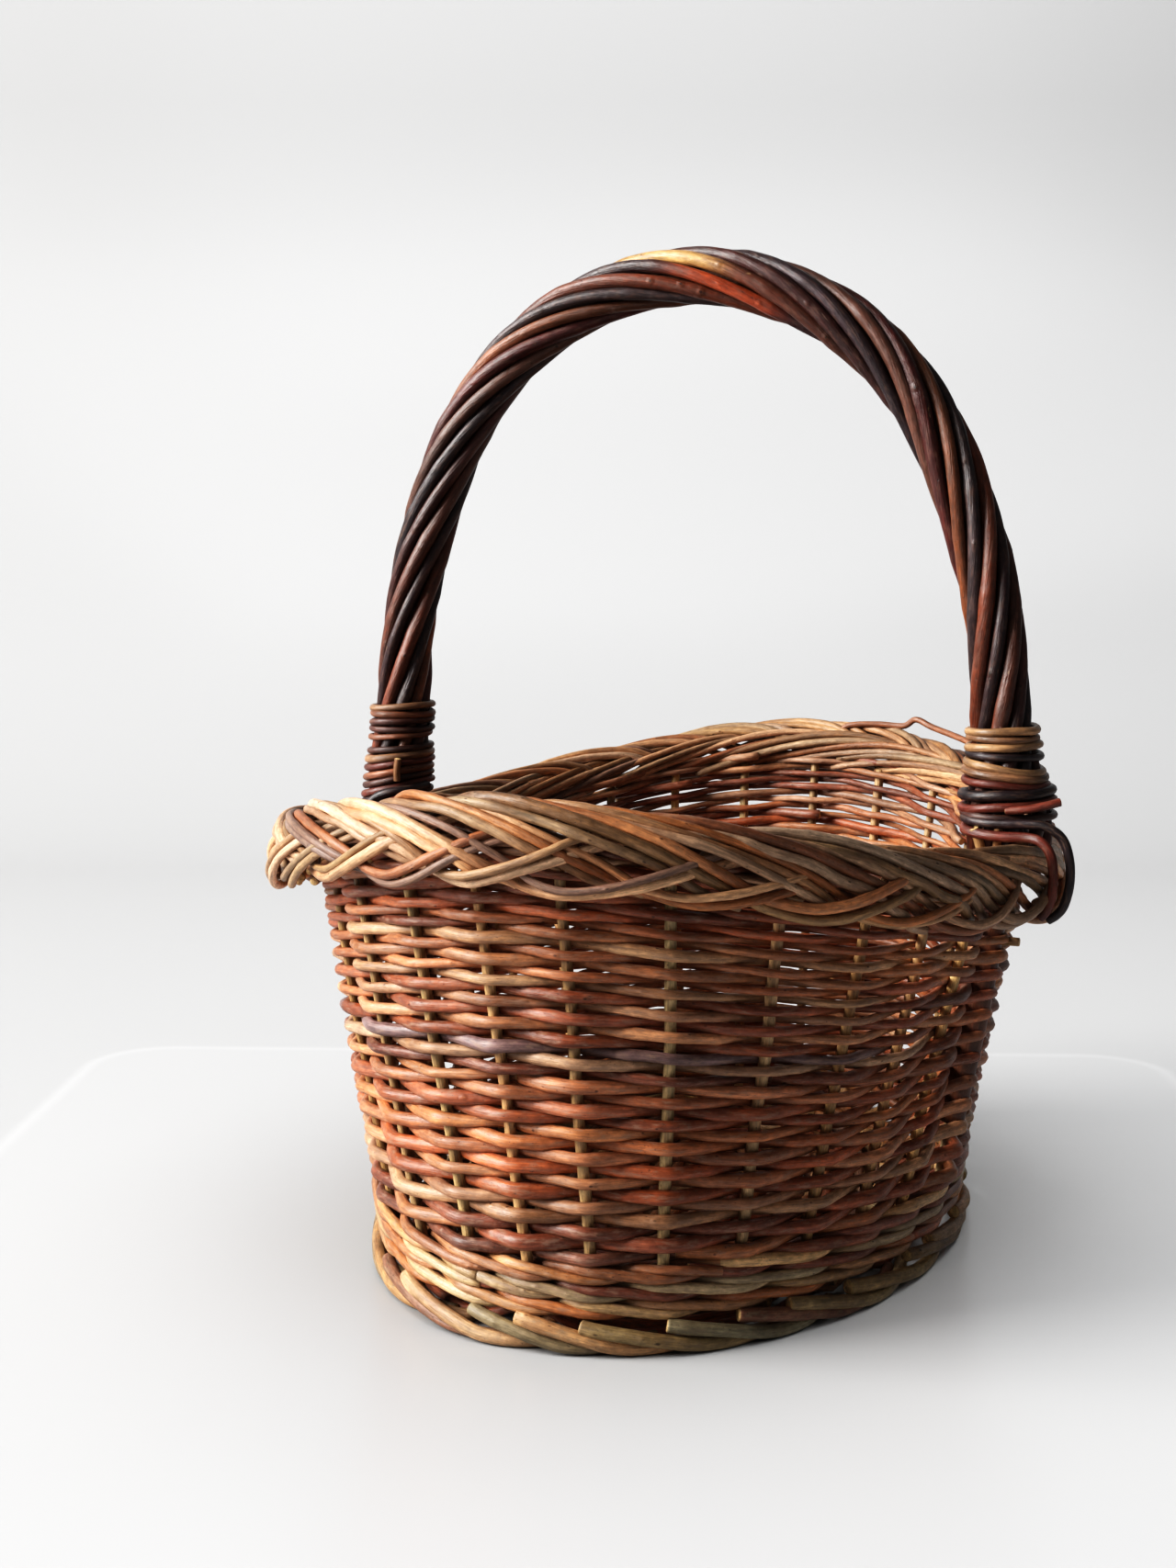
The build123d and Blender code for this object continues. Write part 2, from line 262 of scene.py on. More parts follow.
def barkGroup():
    # Bark over a rod: streaks, fine fibres, blotches and patches along it, bud scars, bloom and places
    # where the bark is rubbed off. The colour is multiplied by 3.2 to the power of the noises' sum.
    group = bpy.data.node_groups.new("barkSurface", "ShaderNodeTree")
    face = group.interface
    inputs = (("Streaks", 0.5), ("Bloom", 0.3), ("Scars", 0.2), ("Gloss", 0.5), ("Knot spacing", 4.0))
    for name, value in inputs:
        face.new_socket(name, in_out="INPUT", socket_type="NodeSocketFloat").default_value = value
    face.new_socket("Bloom color", in_out="INPUT", socket_type="NodeSocketColor")
    face.new_socket("Color", in_out="OUTPUT", socket_type="NodeSocketColor")
    face.new_socket("Roughness", in_out="OUTPUT", socket_type="NodeSocketFloat")
    face.new_socket("Height", in_out="OUTPUT", socket_type="NodeSocketFloat")
    nodes, links = group.nodes, group.links
    inside = nodes.new("NodeGroupInput")
    outside = nodes.new("NodeGroupOutput")

    def add(kind, **settings):
        node = nodes.new(kind)
        for key, value in settings.items():
            setattr(node, key, value)
        return node

    def math2(operation, a, b, clamp=False):
        node = add("ShaderNodeMath", operation=operation, use_clamp=clamp)
        for socket, value in zip(node.inputs, (a, b)):
            if isinstance(value, (int, float)):
                socket.default_value = value
            else:
                links.new(value, socket)
        return node.outputs[0]

    def spread(value, low, high, toLow=0.0, toHigh=1.0):
        node = add("ShaderNodeMapRange", interpolation_type="SMOOTHSTEP")
        links.new(value, node.inputs["Value"])
        for key, number in (("From Min", low), ("From Max", high), ("To Min", toLow), ("To Max", toHigh)):
            node.inputs[key].default_value = number
        return node.outputs["Result"]

    def mix(kind, factor, a, b):
        node = add("ShaderNodeMix", data_type="RGBA", blend_type=kind)
        for socket, value in ((node.inputs[0], factor), (node.inputs[6], a), (node.inputs[7], b)):
            if isinstance(value, (int, float, tuple)):
                socket.default_value = value
            else:
                links.new(value, socket)
        return node.outputs[2]

    bark = add("ShaderNodeAttribute", attribute_name="bark")
    grain = add("ShaderNodeAttribute", attribute_name="grain")
    axes = add("ShaderNodeSeparateXYZ")
    links.new(grain.outputs["Vector"], axes.inputs[0])

    def noise(across, lengthwise, detail, rough=0.6):
        scale = add("ShaderNodeVectorMath", operation="MULTIPLY")
        links.new(grain.outputs["Vector"], scale.inputs[0])
        scale.inputs[1].default_value = (across, across, lengthwise)
        texture = add("ShaderNodeTexNoise")
        texture.inputs["Scale"].default_value = 1.0
        texture.inputs["Detail"].default_value = detail
        texture.inputs["Roughness"].default_value = rough
        links.new(scale.outputs[0], texture.inputs["Vector"])
        return texture.outputs["Fac"]

    streak = noise(1.8, 0.4, 5.0, 0.7)
    fibre = noise(5.5, 1.1, 3.0)
    blotch = noise(0.7, 0.7, 3.0, 0.55)
    patch = noise(1.3, 2.6, 4.0, 0.65)
    speck = noise(3.2, 7.0, 2.0)
    flake = noise(1.5, 1.6, 4.0, 0.65)

    light = math2("MULTIPLY", math2("SUBTRACT", streak, 0.5), inside.outputs["Streaks"])
    for part, share in ((fibre, 0.9), (blotch, 1.1), (patch, 1.3)):
        light = math2("ADD", light, math2("MULTIPLY", math2("SUBTRACT", part, 0.5), share))
    lightness = math2("POWER", 3.2, light)
    tone = add("ShaderNodeCombineColor")
    for socket in tone.inputs[:3]:
        links.new(lightness, socket)
    colour = mix("MULTIPLY", 1.0, bark.outputs["Color"], tone.outputs[0])

    bloom = math2("MULTIPLY", spread(flake, 0.48, 0.68), inside.outputs["Bloom"])
    colour = mix("MIX", bloom, colour, inside.outputs["Bloom color"])

    # Bud scars are the middles of a stretched cell pattern, dark with a pale rim.
    budPlace = add("ShaderNodeCombineXYZ")
    links.new(math2("MULTIPLY", axes.outputs["X"], 0.36), budPlace.inputs[0])
    links.new(math2("MULTIPLY", axes.outputs["Y"], 0.36), budPlace.inputs[1])
    links.new(math2("DIVIDE", axes.outputs["Z"], inside.outputs["Knot spacing"]), budPlace.inputs[2])
    buds = add("ShaderNodeTexVoronoi", voronoi_dimensions="3D", feature="F1")
    links.new(budPlace.outputs[0], buds.inputs["Vector"])
    buds.inputs["Scale"].default_value = 1.0
    scar = spread(buds.outputs["Distance"], 0.03, 0.1, 1.0, 0.0)
    scarRim = spread(buds.outputs["Distance"], 0.04, 0.24, 1.0, 0.0)
    dark = mix("MULTIPLY", 1.0, colour, (0.2, 0.15, 0.13, 1))
    pale = mix("ADD", 1.0, colour, (0.09, 0.055, 0.03, 1))
    colour = mix("MIX", math2("MULTIPLY", scarRim, 0.25), colour, pale)
    colour = mix("MIX", math2("MULTIPLY", scar, 0.85), colour, dark)

    specks = math2("MULTIPLY", spread(speck, 0.66, 0.72), 0.65)
    colour = mix("MIX", specks, colour, dark)
    bare = math2("MULTIPLY", spread(noise(1.1, 1.1, 5.0, 0.7), 0.66, 0.72), inside.outputs["Scars"])
    colour = mix("MIX", bare, colour, (0.42, 0.27, 0.13, 1))

    endGrain = mix("MULTIPLY", 1.0, bark.outputs["Color"], tone.outputs[0])
    colour = mix("MIX", bark.outputs["Alpha"], colour, endGrain)
    links.new(colour, outside.inputs["Color"])

    rough = math2("ADD", inside.outputs["Gloss"], math2("MULTIPLY", math2("SUBTRACT", flake, 0.5), 0.5))
    rough = math2("ADD", rough, math2("MULTIPLY", bare, 0.25), clamp=True)
    links.new(rough, outside.inputs["Roughness"])

    height = math2("MULTIPLY", fibre, 0.5)
    for part, share in ((streak, 0.6), (scarRim, 0.5), (patch, 0.3), (specks, -0.25)):
        height = math2("ADD", height, math2("MULTIPLY", part, share))
    links.new(height, outside.inputs["Height"])
    return group


barkSurface = barkGroup()


finishes = {
    # relief, coat, bloom colour, then the surface's streaks, bloom, scars, gloss and knot spacing
    "weaverBark": (0.6 * mm, 0.12, (158, 130, 112), 1.3, 0.5, 0.4, 0.42, 0.95),
    "borderBark": (0.6 * mm, 0.08, (150, 120, 96), 1.3, 0.45, 0.4, 0.46, 1.1),
    "footBark": (0.7 * mm, 0.05, (140, 122, 100), 1.1, 0.5, 0.4, 0.5, 1.4),
    "ropingBark": (0.8 * mm, 0.15, (112, 82, 68), 1.8, 0.35, 0.6, 0.38, 1.0),
    "bindingBark": (0.5 * mm, 0.12, (120, 92, 74), 1.4, 0.35, 0.4, 0.4, 1.0),
}


def barkMaterial(name):
    # The shared bark with a finish's values, bumped, on one shader with a thin coat.
    relief, coat, bloomColour, *values = finishes[name]
    material = bpy.data.materials.new(name)
    material.use_nodes = True
    nodes, links = material.node_tree.nodes, material.node_tree.links
    shader = nodes["Principled BSDF"]
    surface = nodes.new("ShaderNodeGroup")
    surface.node_tree = barkSurface
    surface.inputs["Bloom color"].default_value = (*linear(bloomColour), 1)
    for key, value in zip(("Streaks", "Bloom", "Scars", "Gloss", "Knot spacing"), values):
        surface.inputs[key].default_value = value
    bump = nodes.new("ShaderNodeBump")
    bump.inputs["Strength"].default_value = 0.8
    bump.inputs["Distance"].default_value = relief
    links.new(surface.outputs["Color"], shader.inputs["Base Color"])
    links.new(surface.outputs["Roughness"], shader.inputs["Roughness"])
    links.new(surface.outputs["Height"], bump.inputs["Height"])
    links.new(bump.outputs["Normal"], shader.inputs["Normal"])
    shader.inputs["Specular IOR Level"].default_value = 0.45
    shader.inputs["Coat Weight"].default_value = coat
    shader.inputs["Coat Roughness"].default_value = 0.3
    return material


weaverBark, borderBark, footBark, ropingBark, bindingBark = map(barkMaterial, finishes)


def speed(angle):
    # Length along the wall's oval per radian.
    return np.hypot(wall["halfX"] * np.sin(angle), wall["halfY"] * np.cos(angle))


def uprightAngles():
    # Angles of the uprights, even along the oval from +X, then drifted where the spacing is uneven.
    grid = np.linspace(0, 2 * np.pi, 7201)
    middle = (grid[1:] + grid[:-1]) / 2
    arc = np.concatenate([[0], np.cumsum(speed(middle) * np.diff(grid))])
    even = np.interp(np.arange(wall["uprights"]) / wall["uprights"] * arc[-1], arc, grid)
    offset = (np.degrees(even) - wall["driftCentre"]) / wall["driftSpan"]
    shift = np.where(abs(offset) < 1, np.cos(offset * np.pi / 2) ** 2, 0)
    return even - wall["drift"] / speed(even) * shift


uprights = uprightAngles()
turns = np.arange(-2, 4)[:, None]
uprightPlaces = (np.arange(wall["uprights"]) + turns * wall["uprights"]).ravel()
uprightTable = (uprights + turns * 2 * np.pi).ravel()


def angleAt(q):
    # Angle on the oval at upright number q, counted on past one turn.
    return np.interp(q, uprightPlaces, uprightTable)


def wallPoint(angle, z, offset):
    # Point at an angle and a height, offset outward from the wall's middle, and the outward normal.
    # Low down, the angle moves toward the near end by gather * sin(2d) / 2 of its distance d from it.
    away = (angle - wall["gatherPlace"] + np.pi) % (2 * np.pi) - np.pi
    low = np.clip((wall["gatherTop"] - z) / wall["gatherTop"], 0, 1)
    angle = angle - wall["gather"] * low * np.where(abs(away) < np.pi / 2, np.sin(2 * away) / 2, 0)
    size = 1 + wall["flare"] * (z - wall["level"])
    across = 1 - wall["nip"] * np.maximum(1 - z / wall["nipLevel"], 0)
    swell = wall["swell"] * smooth((z - wall["swellLevel"]) / wall["swellHeight"])
    across = across + swell * np.maximum(np.cos(angle), 0)
    normal = unit(np.stack([np.cos(angle) / wall["halfX"], np.sin(angle) / wall["halfY"], 0 * angle], -1))
    x = wall["halfX"] * size * across * np.cos(angle)
    y = wall["halfY"] * size * np.sin(angle)
    point = np.stack([x, y, z + 0 * angle], -1)
    return point + normal * (offset - wall["inset"])[..., None], normal


def rimLevel(angle):
    # Height of the border's middle.
    return rim["level"] - rim["saddle"] * np.cos(2 * angle) - rim["tilt"] * np.sin(angle)


def rimPoint(angle, u, v):
    # Point at an angle on the border's saddle, u outward and v up from its middle, and its normal.
    normal = unit(np.stack([np.cos(angle) / rim["halfX"], np.sin(angle) / rim["halfY"], 0 * angle], -1))
    point = np.stack([rim["halfX"] * np.cos(angle), rim["halfY"] * np.sin(angle), rimLevel(angle)], -1)
    point = point + normal * u[..., None]
    point[..., 2] += v
    return point, normal


def weaveTop(angle):
    # Height of the border's underside.
    return rimLevel(angle) - rim["underside"]


upward = np.array([0, 0, 1.0])
nearSide = np.array([0, -1.0, 0])


stakes = {
    "radius": 2.4 * mm,
    "rootLevel": 16.3 * mm,
    "rootLength": 32 * mm,
    "bend": 9 * mm,
    "intoBorder": 12 * mm,
    "lean": 0.35 * mm,
    "sway": 0.5 * mm,
    "knotSpacing": 45 * mm,
    "points": 60,
    "sides": 10,
}


def makeStakes():
    # A stake lies level in the base, bends up and runs straight up the wall into the border.
    rng = np.random.default_rng(11)
    count = wall["uprights"]
    angle = uprights.copy()
    for leg in (0, count // 2):
        angle[leg] += wall["besideLeg"] / speed(angle[leg])
    u = np.linspace(0, 1, stakes["points"])[None]
    top = weaveTop(angle)[:, None] + stakes["intoBorder"]
    run = stakes["rootLength"] + top - stakes["rootLevel"]
    s = u * run
    flat = np.minimum(s - stakes["rootLength"], 0)
    rise = np.maximum(s - stakes["rootLength"], 0)
    soft = stakes["bend"] * 0.3 * np.exp(-((s - stakes["rootLength"]) / stakes["bend"]) ** 2)
    z = stakes["rootLevel"] + rise + soft
    lean = stakes["lean"] * wave(rng, z.shape, 3, 1, 5)
    centre, normal = wallPoint(angle[:, None] + 0 * u, z, flat - soft + lean)
    sideways = np.cross(normal, upward)
    centre = centre + sideways * (stakes["sway"] * wave(rng, z.shape, 3, 0.5, 4))[..., None]
    radius = stakes["radius"] * (1.04 - 0.14 * u) * rng.uniform(0.92, 1.05, (count, 1))
    radius = knots(rng, centre, radius, stakes["knotSpacing"], 0.1)
    palette = ((182, 150, 104), (162, 130, 90), (186, 150, 108), (148, 104, 74))
    bark = mottle(rng, pick(rng, palette, (4, 4, 3, 1), count), z.shape, 0.3, 1, 6, calmTint)
    placeRods(
        "stakeRods", centre, sideways, radius, bark, stakes["sides"], 12,
        borderBark, "willow_stake", "side_stakes",
    )


makeStakes()
print("stakes made")


weave = {
    "low": 36.6 * mm,
    "fullRows": 30,
    "pairsAfter": (8, 13, 17, 22),
    "pairSpans": (6.2, 5.6, 5.9, 5.0),
    "pairFade": 2.4,  # uprights over which a short row fades out
    "intoBorder": 18 * mm,
    "bulge": 4.2 * mm,
    "legBulge": 7.0 * mm,
    "overlap": 0.17,
    "radius": 0.535,  # as a share of the row's height
    "thinnest": 3.2 * mm,
    "thickest": 5.8 * mm,
    "taper": 0.34,
    "pitchChange": 0.22,
    "tuck": 3.4 * mm,
    "jitter": 0.3 * mm,
    "rise": 0.55 * mm,
    "knotSpacing": 38 * mm,
    "pointsPerGap": 10,
    "sides": 10,
    "bands": 3,
}


def weaveRows():
    # Rows from the bottom: full rounds, and pairs of short rows that build up each end.
    rows = []
    count = wall["uprights"]
    for n in range(weave["fullRows"]):
        rows.append(("full", 0, 0, n))
        if n in weave["pairsAfter"]:
            span = weave["pairSpans"][weave["pairsAfter"].index(n)]
            for end in (count // 4, 3 * count // 4):
                rows.append(("short", end, span, n + 1))
                rows.append(("short", end, span, n + 2))
    return rows


def rowShare(row, q):
    # How much of its height a row takes at q: 1, or fading to 0 past the ends of a short row.
    if row[0] == "full":
        return np.ones_like(q)
    count = wall["uprights"]
    away = abs((q - row[1] + count / 2) % count - count / 2)
    return smooth((row[2] - away) / weave["pairFade"] + 0.5)


def makeWeave():
    # Plain weaving: the offset from the wall's middle is bulge * cos(pi * (q + row)), sharpened a
    # little, and the height is the stack of the rows below, scaled to end at the border.
    rng = np.random.default_rng(21)
    count = wall["uprights"]
    rows = weaveRows()
    rods = []
    for n, row in enumerate(rows):
        parity = row[3] % 2
        if row[0] == "full":
            start = 2 * rng.integers(0, count // 2) + 1 - parity
            for q in (start, start + count / 2):
                rods.append((n, q - weave["overlap"], q + count / 2 + weave["overlap"], parity))
        else:
            first = row[1] - row[2]
            first = math.floor(first) + (math.floor(first) + parity + 1) % 2
            last = 2 * row[1] - first
            rods.append((n, first - 0.1, last + 0.1, parity))
    order = np.array([r[0] for r in rods])
    parity = np.array([r[3] for r in rods])[:, None]
    begin = np.array([r[1] for r in rods])[:, None]
    finish = np.array([r[2] for r in rods])[:, None]
    points = int(count / 2 * weave["pointsPerGap"])
    u = np.linspace(0, 1, points)[None]
    q = begin + (finish - begin) * u
    angle = angleAt(q)
    pitch = 1 + weave["pitchChange"] * (1 - 2 * np.arange(len(rows)) / (len(rows) - 1))
    below = np.zeros_like(q)
    total = np.zeros_like(q)
    own = np.zeros_like(q)
    for n, row in enumerate(rows):
        share = rowShare(row, q) * pitch[n]
        total += share
        below += np.where((order > n)[:, None], share, 0)
        own = np.where((order == n)[:, None], share, own)
    high = weaveTop(angle) + weave["intoBorder"]
    z = weave["low"] + (high - weave["low"]) * (below + own / 2) / total
    local = (high - weave["low"]) * pitch[order][:, None] / total
    legGap = abs((q + count / 4) % (count / 2) - count / 4)
    bulge = weave["bulge"] + (weave["legBulge"] - weave["bulge"]) * np.exp(-((legGap / 0.4) ** 2))
    swing = np.pi * (q + parity)
    beat = (np.cos(swing) + 0.11 * np.cos(3 * swing) + 0.03 * np.cos(5 * swing)) / 1.14
    tuck = weave["tuck"] * (1 - smooth(u * (finish - begin) / 0.7))
    offset = bulge * beat - tuck + weave["jitter"] * wave(rng, q.shape, 4, 2, 16)
    z = z + weave["rise"] * wave(rng, q.shape, 4, 2, 15)
    centre, normal = wallPoint(angle, z, offset)
    local = np.clip(local, weave["thinnest"], weave["thickest"])
    size = weave["radius"] * local * rng.uniform(0.88, 1.08, (len(rods), 1))
    size = size * (1 + weave["taper"] * (0.5 - u)) * (1 + 0.07 * wave(rng, q.shape, 3, 2, 12))
    size = knots(rng, centre, size, weave["knotSpacing"], 0.12)
    palette = (
        (160, 102, 70), (168, 114, 80), (144, 84, 58), (168, 122, 92),
        (128, 76, 56), (172, 134, 104), (120, 92, 84), (102, 66, 52),
    )
    bark = pick(rng, palette, (7, 5, 6, 4, 3.5, 1.5, 1.2, 1.4), len(rods), 0.16)
    bark = mottle(rng, bark, q.shape, 0.45, 0.5, 7, warmTint)
    band = order * weave["bands"] // len(rows)
    for n in range(weave["bands"]):
        mine = band == n
        name = f"weaverRods{n + 1}"
        placeRods(
            name, centre[mine], normal[mine], size[mine], bark[mine], weave["sides"], 22 + n,
            weaverBark, "willow_weaver", *(["side_weave"] if n == 0 else []),
        )


makeWeave()
print("side weave made")


wale = {
    "level": 18.2 * mm,
    "roundPitch": 7.3 * mm,
    "rounds": 3,
    "strands": 3,
    "radius": 2.15 * mm,
    "bulge": 4.6 * mm,
    "swing": 2.1 * mm,
    "jitter": 0.3 * mm,
    "tuck": 2.5 * mm,
    "seam": 6,
    "rodGaps": 10.5,
    "knotSpacing": 42 * mm,
    "pointsPerGap": 9,
    "sides": 10,
}


def makeWale():
    # Three-rod wale: each rod runs in front of two uprights and behind one, sloping down as it goes,
    # and its offset is bulge * (0.3 - cos p - cos(2p) / 3) with p one turn in three gaps.
    rng = np.random.default_rng(31)
    total = wall["uprights"] * wale["rounds"]
    pieces = int(total / wale["rodGaps"])
    gaps = total / pieces
    strand, part = np.divmod(np.arange(wale["strands"] * pieces), pieces)
    u = np.linspace(0, 1, int(gaps * wale["pointsPerGap"]))[None]
    q = (part * gaps - 0.2)[:, None] + u * (gaps + 0.4)
    q = np.clip(q, 0, total)
    stroke = 2 * np.pi * (q + strand[:, None]) / 3
    offset = wale["bulge"] * (0.3 - np.cos(stroke) - np.cos(2 * stroke) / 3)
    climb = q / wall["uprights"]
    level = np.floor(climb) + smooth((climb % 1) * 6 - 5)
    z = wale["level"] + wale["roundPitch"] * np.minimum(level, wale["rounds"] - 1)
    z = z + wale["swing"] * np.cos(stroke - 2 * np.pi * 0.25) + wale["jitter"] * wave(rng, q.shape, 4, 2, 10)
    tuck = wale["tuck"] * (1 - smooth(u * gaps / 0.6))
    offset = offset + wale["jitter"] * wave(rng, q.shape, 4, 2, 10) - tuck
    centre, normal = wallPoint(angleAt(q + wale["seam"]), z, offset)
    radius = wale["radius"] * (1.06 - 0.14 * u) * rng.uniform(0.92, 1.08, (len(strand), 1))
    radius = knots(rng, centre, radius, wale["knotSpacing"], 0.12)
    palette = ((162, 108, 74), (168, 124, 88), (148, 88, 62), (130, 78, 60), (166, 136, 100), (120, 92, 84))
    bark = pick(rng, palette, (4, 3, 4, 3, 2.5, 1.5), len(strand), 0.14)
    bark = mottle(rng, bark, q.shape, 0.4, 0.5, 5, warmTint)
    placeRods(
        "waleRods", centre, normal, radius, bark, wale["sides"], 32,
        weaverBark, "willow_wale", "upsett_wale",
    )


makeWale()
print("wale made")


foot = {
    "radius": 2.85 * mm,
    "knotSpacing": 40 * mm,
    "points": 52,
    "sides": 14,
    "lying": 3.0,  # millimetres up, where a rod lies on the floor
    "climb": 9,
    # upright number, then out from the wall's middle and up in millimetres, from the butt to the tip
    "route": (
        (-0.12, 5.2, 12.6), (0.1, 6.4, 11.6), (0.5, 7.2, 9.4), (0.95, 7.4, 6.4),
        (1.4, 7.3, 3.6), (1.9, 5.6, 3.0), (2.4, 1.0, 3.0), (2.9, -5, 3.0),
    ),
}


def makeFoot():
    # A rod at every upright: its cut butt stands under the wale, and it runs down and round to the
    # floor, over the next rod's way, and ends inside.
    rng = np.random.default_rng(41)
    count = wall["uprights"]
    route = through(foot["route"], foot["points"])
    q = np.arange(count)[:, None] + route[None, :, 0] * rng.uniform(0.9, 1.12, (count, 1))
    q = q + rng.uniform(-0.2, 0.2, (count, 1))
    lift = np.clip((route[None, :, 2] - foot["lying"]) / foot["climb"], 0, 1)
    offset = (route[None, :, 1] + rng.uniform(-0.8, 0.8, (count, 1))) * mm + wall["inset"]
    z = (route[None, :, 2] + lift * rng.uniform(-1.2, 1.0, (count, 1))) * mm
    centre, normal = wallPoint(angleAt(q), z + 0 * q, offset + 0 * q)
    u = np.linspace(0, 1, foot["points"])[None]
    radius = foot["radius"] * (1.06 - 0.14 * u) * rng.uniform(0.85, 1.05, (count, 1))
    radius = knots(rng, centre, radius, foot["knotSpacing"], 0.06)
    centre[..., 2] = np.maximum(centre[..., 2], radius * 1.06 + 0.05 * mm)
    palette = ((142, 122, 90), (124, 102, 76), (158, 124, 92), (128, 92, 74))
    bark = mottle(rng, pick(rng, palette, (4, 3, 3, 2), count, 0.12), z.shape, 0.35, 0.5, 3, calmTint)
    placeRods(
        "footRods", centre, normal, radius, bark, foot["sides"], 42,
        footBark, "willow_foot", "foot_border",
    )


makeFoot()
print("foot made")


border = {
    "strokes": 28,
    "nearTips": (-113, -100.2, -88.7, -76.8, -62.4, -47.9, -35.4, -23.3, -13.4),  # degrees
    "rodsPerStroke": 3,
    "thin": 1.5 * mm,
    "thick": 2.2 * mm,
    "pinch": 4.2 * mm,  # drawn in, past the right foot
    "pinchPlace": math.radians(19),
    "pinchReach": math.radians(15),
    "legReach": 24 * mm,
    "legSplit": -4 * mm,  # rods further out than this pass outside the leg
    "legShifts": (1.5, -6.5),  # millimetres that the rods outside and inside it move
    "groupShifts": (1.0 * mm, 1.3 * mm),  # the most that a whole stroke moves out and up
    "pieces": 2,
    "knotSpacing": 48 * mm,
    "points": 120,
    "sides": 12,
    # stroke number, then out and up in millimetres from the section's middle
    "route": (
        (-3.0, -7.2, 0.6), (-2.72, -6.6, 7.4), (-2.4, -3.2, 11.8), (-2.0, 0.8, 13.0), (-1.56, 4.2, 12.5),
        (-1.12, 7.0, 10.6), (-0.7, 9.2, 7.0), (-0.3, 10.5, 2.2), (0.05, 9.4, -3.6), (0.36, 6.2, -9.0),
        (0.62, 6.6, -12.8), (0.95, 9.2, -14.3), (1.28, 11.4, -11.8), (1.6, 12.1, -7.4), (1.92, 11.0, -2.4),
        (2.25, 6.6, 2.6), (2.65, 0.8, 7.0), (3.1, -5.0, 10.0), (3.6, -9.2, 10.0), (4.2, -11.4, 7.4),
        (4.8, -11.8, 3.6), (5.4, -10.8, -0.6), (5.9, -8.4, -4.4), (6.3, -4.6, -6.6),
    ),
}


def strokeTable():
    # Angles of the points where strokes cross on the outer face: listed for the near side, and
    # even along the border's oval from there round the far side.
    near = np.radians(border["nearTips"])
    grid = np.linspace(near[-1], near[0] + 2 * np.pi, 4001)
    arc = np.hypot(np.diff(rim["halfX"] * np.cos(grid)), np.diff(rim["halfY"] * np.sin(grid)))
    arc = np.concatenate([[0], np.cumsum(arc)])
    rest = border["strokes"] - len(near) + 1
    far = np.interp(np.arange(1, rest) / rest * arc[-1], arc, grid)
    return np.concatenate([near, far])


strokeAngles = strokeTable()
strokePlaces = (np.arange(border["strokes"]) + turns * border["strokes"]).ravel()
strokeAngleTable = (strokeAngles + turns * 2 * np.pi).ravel()


